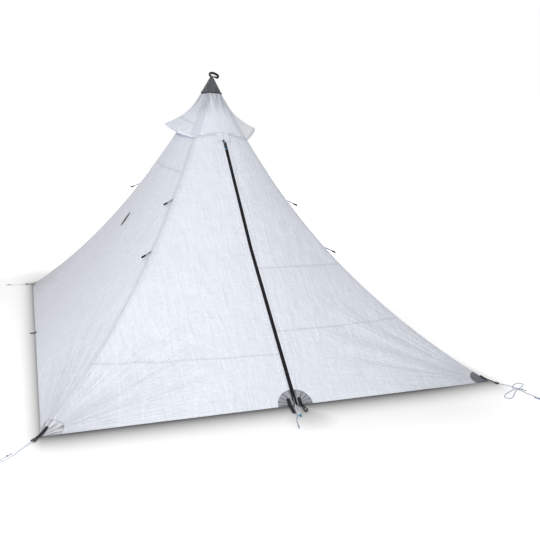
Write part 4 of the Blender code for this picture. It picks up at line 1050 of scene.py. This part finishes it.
# Rigid small parts: a copy of the frame's node with softened edges
def softened(node, finish, width, body, slot):
    first, rest = node.split("_", 1)
    bm = bmesh.new()
    bm.from_mesh(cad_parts[node].data)
    weld(bm)
    bmesh.ops.dissolve_limit(bm, angle_limit=math.radians(2), verts=bm.verts, edges=bm.edges)
    sharp = [e for e in bm.edges if len(e.link_faces) == 2 and e.calc_face_angle() > math.radians(35)]
    bmesh.ops.bevel(bm, geom=sharp, offset=width, affect="EDGES", segments=2, profile=0.5, material=-1)
    belong(makePiece(first + rest[0].upper() + rest[1:], bm, finish, 50), body, slot, node)


for name in cornerPlaces:
    softened("line_adjuster_" + name, blackPlastic, 0.0008, "canopy", "black_plastic")

# Zip: tape and coil of each half, sliders and pulls
tapeProfile = {"foot": 0.0002, "coilWidth": 0.0028, "coilHeight": 0.0025, "round": 0.0006, "hem": 0.0011,
               "steps": 60, "girth": 0.016, "length": 1.76}


def zipStations():
    top, foot = (outFrom(line.normalized()) for line in (zipMiddle - zipTop, zipFoot - zipMiddle))
    middle = (top + foot) / (1 + top.dot(foot))
    return (zipTop, top), (zipMiddle, middle), (zipFoot, foot)


def zipHalf(sign, name):
    stations, steps, frames = zipStations(), tapeProfile["steps"], []
    side = Vector((sign, 0, 0))
    for (p, n), (q, m) in zip(stations, stations[1:]):
        frames += [(mix(p, q, i / steps), side, mix(n, m, i / steps)) for i in range(steps)]
    frames.append((stations[-1][0], side, stations[-1][1]))
    near, far = zipLine["gap"], zipLine["gap"] + zipLine["tapeWidth"]
    foot, coil, high, bend = (tapeProfile[key] for key in ("foot", "coilWidth", "coilHeight", "round"))
    hem = tapeProfile["hem"]
    profile = [(near, foot), (near, high - 0.0005), (near + bend, high), (near + coil - bend, high),
               (near + coil, high - bend), (far - bend, hem + 0.0005), (far, hem), (far, foot)]
    tape = loft("zipTape_" + name, frames, profile, zipCloth, tapeProfile["girth"], tapeProfile["length"], 30)
    belong(tape, "door_" + name, "zip_black", "zip_band_" + name)


for sign, name in halves:
    zipHalf(sign, name)
for name in ("upper", "lower"):
    softened("zip_slider_" + name, coilPlastic, 0.0005, "slider_" + name, "zip_black")
    softened("zip_pull_" + name, greyMetal, 0.0003, "pull_" + name, "grey_metal")


# Patch over the zip's top, in two halves
def zipTopPatches():
    size = zipTopPatch
    for sign, name in halves:
        def place(u, v):
            share = yokeShare - 0.002 + size["drop"] * v / slant["rim"]
            x = mix(size["gap"], size["half"] * (1 - size["taper"] * v * v), u)
            lift = mix(*size["lift"], min(1, u * 1.6))
            return onFront(sign * x, share, lift)

        chart = lambda u, v: (u * size["half"], v * size["drop"])
        piece = clothPiece("zipTopPatch_" + name, 16, 14, place, chart, patchCloth)
        foldBlend(thicken(piece, size["wall"]), sign)


zipTopPatches()

# The pulls' cords with their beads
pullCord = {"route": ((-0.002, 0), (0.010, 0.0010), (0.026, 0.0010), (0.036, 0.0006)), "radius": 0.0009,
            "spacing": 0.0012, "beadRadius": 0.0038, "beadStretch": (1, 1, 1.7, 1)}
lowerCord = {"bead": Vector((-0.031, -1.568, 0.0052)), "swing": 0.0065, "rise": 0.003, "riseStep": 0.001,
             "radius": 0.0021, "spacing": 0.0015, "beadRadius": 0.0056, "beadStretch": (1, 1.6, 0.9, 1)}


def makeBead(name, radius, matrix):
    bm = bmesh.new()
    bmesh.ops.create_uvsphere(bm, u_segments=20, v_segments=14, radius=radius)
    bmesh.ops.transform(bm, verts=bm.verts, matrix=matrix)
    return makePiece(name, bm, blueTip)


def upperPullCord():
    low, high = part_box("zip_pull_upper")
    tip = Vector(((low[0] + high[0]) / 2, low[1] + 0.001, low[2] + 0.002))
    down = (zipMiddle - zipTop).normalized()
    out = outFrom(down)
    knots = [tip + down * a + out * b for a, b in pullCord["route"]]
    points = smoothPath(knots, pullCord["spacing"])
    cord = sweep("pullCord", points, roundProfile(pullCord["radius"], 8), darkLine)
    belong(cord, "pull_upper", "black_webbing")
    turn = down.to_track_quat("Z", "Y").to_matrix().to_4x4()
    matrix = Matrix.Translation(knots[-1]) @ turn @ Matrix.Diagonal(pullCord["beadStretch"])
    belong(makeBead("pullBead", pullCord["beadRadius"], matrix), "pull_upper", "black_plastic")


def lowerPullCord():  # pale cord looped through the lower pull, with its bead
    low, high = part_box("zip_pull_lower")
    tip = Vector(((low[0] + high[0]) / 2, low[1] + 0.001, max(low[2] + 0.0015, 0.004)))
    bead, made = lowerCord["bead"], []
    for index, side in enumerate((-1, 1)):
        rise = lowerCord["rise"] + lowerCord["riseStep"] * index
        middle = mix(tip, bead, 0.5) + Vector((side * lowerCord["swing"], 0, rise))
        points = smoothPath([tip, middle, bead], lowerCord["spacing"])
        profile = roundProfile(lowerCord["radius"], 8)
        made.append(sweep("lowerPullCord_%d" % (index + 1), points, profile, whiteLine))
    matrix = Matrix.Translation(bead) @ Matrix.Diagonal(lowerCord["beadStretch"])
    made.append(makeBead("lowerPullBead", lowerCord["beadRadius"], matrix))
    for piece in made:  # each piece's transform is baked into its mesh
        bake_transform(piece)


upperPullCord()

# Foot of the zip: round patch in two halves, straps and hook
foot = {"radius": 0.074, "edge": 0.0092, "width": 0.0165, "thickness": 0.0026, "strapRise": 0.034,
        "strapLift": 0.0041, "strapX": (-0.030, 0.022), "bend": (0, -0.004, 0.001)}
hook = {"wire": 0.0042, "length": 0.042, "tip": 0.011, "opening": 0.0108, "lean": 0.012, "width": 0.0090,
        "height": 0.0050}


def zipFootParts():
    run = (onSurface("front", 0, 0.95) - onSurface("front", 0, 1.0)).length / 0.05
    strapShare, above = 1 - foot["strapRise"] / run, foot["strapLift"]
    over = corner["lift"] + zipLine["overTape"]
    for (sign, name), strapX, stop in zip(halves, foot["strapX"], (leftStrapEnd, rightStrapEnd)):
        def place(u, radius):
            share = 1 - radius * math.sin(math.pi / 2 * u) / run
            x = radius * math.cos(math.pi / 2 * u)
            lift = corner["lift"] + zipLine["overTape"] * max(0, 1 - x / zipLine["ramp"])
            return onFront(sign * (foot["edge"] + x), share, lift)

        centre = onFront(sign * foot["edge"], 1.0, over)
        patch = fanPatch("doorPatch_" + name, centre, place, foot["radius"], footCloth, 24)
        belong(patch, "door_" + name, "grey_fabric", "door_patch_" + name)
        start, edge = (onFront(strapX, share, above) for share in (strapShare, 1.0))
        knots = [start, mix(start, edge, 0.6), edge + Vector(foot["bend"]), stop]
        strap("doorStrap_" + name, knots, foot, (1, 0, 0), "door_" + name, "door_strap_" + name)


zipFootParts()


def doorHook():  # flat bent bar on the end of the right strap
    pivot = rightStrapEnd + Vector((0, -0.0003 - hook["wire"] / 2, hook["wire"] / 5))
    half, bow, length = hook["opening"] / 2, hook["wire"] / 4, hook["length"]
    knots = ((half, 0, 0), (0, 0, 0), (-half, -bow, 0), (-half, -length * 0.3, 0),
             (-half * 0.8, -length * 0.65, 0), (-half * 0.7, -length + bow, bow),
             (0, -length - hook["wire"], 3 * bow), (half, -length, 5 * bow),
             (half + bow, -length + hook["tip"], 6 * bow))
    knots = [pivot + Vector((x + min(y, 0) * hook["lean"] / length, y, z)) for x, y, z in knots]
    points = smoothPath(knots, 0.0016)
    ends = [points[0], *points, points[-1]]
    ahead = [(after - before).normalized() for before, after in zip(ends, ends[2:])]
    sides = [way.cross(Vector((0, 0, 1))).normalized() for way in ahead]
    profile = strapProfile(hook["width"], hook["height"], 24)
    bar = sweep("doorHook", points, profile, blackPlastic, across=sides)
    belong(bar, "hook", "black_plastic", "door_hook")


doorHook()
lowerPullCord()


# Hem tabs, tie-out loops and the lens-shaped patch
tabs = {"above": 0.0029, "rise": 0.018, "bend": (0.004, 0.001), "reach": 0.024, "width": 0.018,
        "thickness": 0.0015}
tieouts = {"diameter": 0.0034, "length": 0.055, "spread": 0.009, "gap": 0.0004, "out": (0.80, 0.35, -0.45),
           "shape": ((-1, 0), (-1.2, 0.45), (-0.9, 0.85), (0, 1), (0.9, 0.85), (1.2, 0.45), (1, 0)),
           "tip": (0.0094, 0.0060), "tipLength": 0.024, "tipSteps": 12,
           "places": (("front_left_upper", -1, -1, 0.830), ("front_left_lower", -1, -1, 0.580),
                      ("front_right_upper", 1, -1, 0.830), ("front_right_lower", 1, -1, 0.580),
                      ("back_left_upper", -1, 1, 0.870))}
lens = {"height": 0.630, "offset": 0.07, "half": 0.050, "widths": (0.013, 0.002), "wall": 0.0012}


def hemTabs():
    ahead, up = tabs["bend"]
    share = 1 - tabs["rise"] / math.hypot(halfWidth, tent["peak"])
    for side, x, y in (("left", -1, 0), ("right", 1, 0), ("back", 0, 1)):
        out = Vector((x, y, 0))
        bend = onSurface(side, 0, 1.0, tabs["above"]) + out * ahead + Vector((0, 0, up))
        knots = [onSurface(side, 0, share, tabs["above"]), bend, bend + out * tabs["reach"]]
        strap("hemTab_" + side, knots, tabs, (-y, x, 0), "canopy", "hem_tab_" + side)


def tieoutLoops():
    lift = tent["wall"] + tieouts["diameter"] / 3 + tieouts["gap"]
    outX, outY, sink = tieouts["out"]
    half, length, steps = tieouts["spread"] / 2, tieouts["length"], tieouts["tipSteps"]
    for name, xSign, ySign, height in tieouts["places"]:
        share = shareAt(height, tent["frontSag"] if ySign < 0 else tent["backSag"])
        root = onRidge(xSign, ySign, share, lift)
        down = (onRidge(xSign, ySign, share + 0.02) - onRidge(xSign, ySign, share - 0.02)).normalized()
        hang = (Vector((xSign * outX, ySign * outY, 0)).normalized() + Vector((0, 0, sink))).normalized()
        knots = [root + down * half * a + hang * length * b for a, b in tieouts["shape"]]
        profile = roundProfile(tieouts["diameter"] / 2, 8)
        loop = sweep("tieout_" + name + "_loop", smoothPath(knots, 0.002), profile, greyCord)
        belong(loop, "canopy", "black_webbing", "tieout_" + name)
        past = [tieouts["tipLength"] * (1 / 3 - i / steps) for i in range(steps + 1)]
        sleeve = [root + hang * (length + reach) for reach in past]
        profile = strapProfile(*tieouts["tip"], 16)
        tip = sweep("tieout_" + name + "_tip", sleeve, profile, webbing, across=down)
        belong(tip, "canopy", "black_webbing")


def lensPatch():
    middle = shareAt(lens["height"])
    run = (bareSurface("left", 0, middle + 0.01) - bareSurface("left", 0, middle - 0.01)).length / 0.02

    def place(u, v):
        t = 2 * v - 1
        share = middle + t * lens["half"] / run
        half = mix(*lens["widths"], t * t) / (halfDepth * share)
        return onSurface("left", lens["offset"] + (2 * u - 1) * half, share, tent["wall"] + tent["layer"])

    chart = lambda u, v: (u * lens["widths"][0] * 2, v * lens["half"] * 2)
    piece = clothPiece("lensPatch", 8, 24, place, chart, webbing, "run")
    belong(thicken(piece, lens["wall"]), "canopy", "black_webbing", "tieout_left_panel")


hemTabs()
tieoutLoops()
lensPatch()

# Pole parts
softened("pole_clamp", blackPlastic, 0.0006, "canopy", "black_plastic")
softened("pole_lever", blackPlastic, 0.0005, "lever", "black_plastic")
softened("pole_foot", rubber, 0.0012, "pole_leg", "foot_rubber")
for node in ("pole_upper", "pole_lower"):
    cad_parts[node].material_slots[0].material = carbon.material
print("small parts made")

# Stage and light
studio = {"ambient": 0.50, "floorLift": 0.40, "farLift": 1.0, "far": (0.15, 1.6), "shadeReach": (0.11, 0.22),
          "shadeTone": 0.05, "endShade": 0.72, "sideShade": 0.42, "wideShade": 0.25, "wideReach": 5,
          "wideRight": (-0.45, 0.20), "wideLeft": (0.10, -0.20), "turnSoft": 0.004,
          "footShade": 0.80, "footReach": (0.24, 0.36), "inside": 0.020,
          "lamps": (("key", (-2.2, -3.6, 2.3), 90.0, 2.0), ("fill", (4.0, -3.2, 3.0), 16.0, 3.0))}


def hemShade(f, x, y):  # painted shadow: the floor looks darker close to the hem and round the zip's foot
    besideX, besideY = (abs(x) - halfWidth).most(0), (abs(y) - halfDepth).most(0)
    sideReach, endReach = studio["shadeReach"]
    footX, footY = studio["footReach"]
    close = (1 - besideX / sideReach).most(0) * (1 - besideY / endReach).most(0)
    wide = (1 - besideY / (endReach * studio["wideReach"])).most(0)
    wide = wide * (1 - (x - halfWidth).rise(*studio["wideRight"]))
    wide = wide * (1 - (x + halfWidth).rise(*studio["wideLeft"]))
    fromFoot = f.distance((x - zipFoot.x) / footX, (y - zipFoot.y) / footY)
    beside = besideX / (besideX + besideY + studio["turnSoft"])
    strength = studio["endShade"] - beside * (studio["endShade"] - studio["sideShade"])
    shade = close * close * strength + wide * studio["wideShade"]
    shade = shade.most((1 - fromFoot).most(0) * studio["footShade"])
    inside = (halfWidth - abs(x)).most(0).least((halfDepth - abs(y)).most(0))
    return shade * (1 - inside / studio["inside"]).most(0), f.distance(besideX, besideY)


def makeFloor():
    bm = bmesh.new()
    bmesh.ops.create_grid(bm, x_segments=1, y_segments=1, size=40)
    f = Finish("floorPaper", roughness=0.9, specular_ior_level=0.0, emission_color=(1.0, 1.0, 1.0))
    body = f.body()
    x, y, _ = f.axes(body)
    shade, away = hemShade(f, x, y)
    seen, dim = f.seen(), studio["shadeTone"]
    clear = 1 - shade * seen
    paper = f.blend(f.grain(body, 300, 3), (0.88, 0.88, 0.88), (0.92, 0.92, 0.92))
    # painted shadow: for camera rays the paper's colour dims towards the shade tone near the hem
    f.surface({"Base Color": f.blend(clear, (dim, dim, dim * 1.03), paper)})
    # the camera-only white lift is weaker close to the tent and under the painted shadow, so the floor is
    # darker there: partly its real shading, partly painted shade
    low, high = studio["floorLift"], studio["farLift"]
    lift = clear * (low + away.rise(*studio["far"]) * (high - low))
    glow = f.node("Emission", Color=(1.0, 1.0, 1.0), Strength=1.0)
    none = f.node("Emission", Color=(0.0, 0.0, 0.0), Strength=0.0)
    added = f.node("MixShader", at0=seen * lift, at1=none, at2=glow)
    both = f.node("AddShader", at0=Wire(f, f.shader.outputs[0]), at1=added)
    f.tree.links.new(both.socket, f.tree.nodes["Material Output"].inputs[0])
    makePiece("floor", bm, f)


def makeWorld():  # full white where it is seen, dimmer as light
    world = bpy.data.worlds.new("studio")
    bpy.context.scene.world = world
    world.use_nodes = True
    air = Nodes(world.node_tree)
    back = air.tree.nodes["Background"]
    back.inputs[0].default_value = (1, 1, 1, 1)
    air.feed(back.inputs[1], air.node("MapRange", at0=air.seen(), at3=studio["ambient"], at4=1.0))


def makeLamps():
    for name, place, power, size in studio["lamps"]:
        lamp = bpy.data.lights.new(name, "AREA")
        lamp.energy, lamp.size = power, size
        made = bpy.data.objects.new(name, lamp)
        made.location = place
        made.rotation_euler = (Vector((0, 0, 0.5)) - Vector(place)).to_track_quat("-Z", "Y").to_euler()
        bpy.context.scene.collection.objects.link(made)


makeFloor()
makeWorld()
makeLamps()
bpy.context.scene.view_settings.view_transform = "Standard"
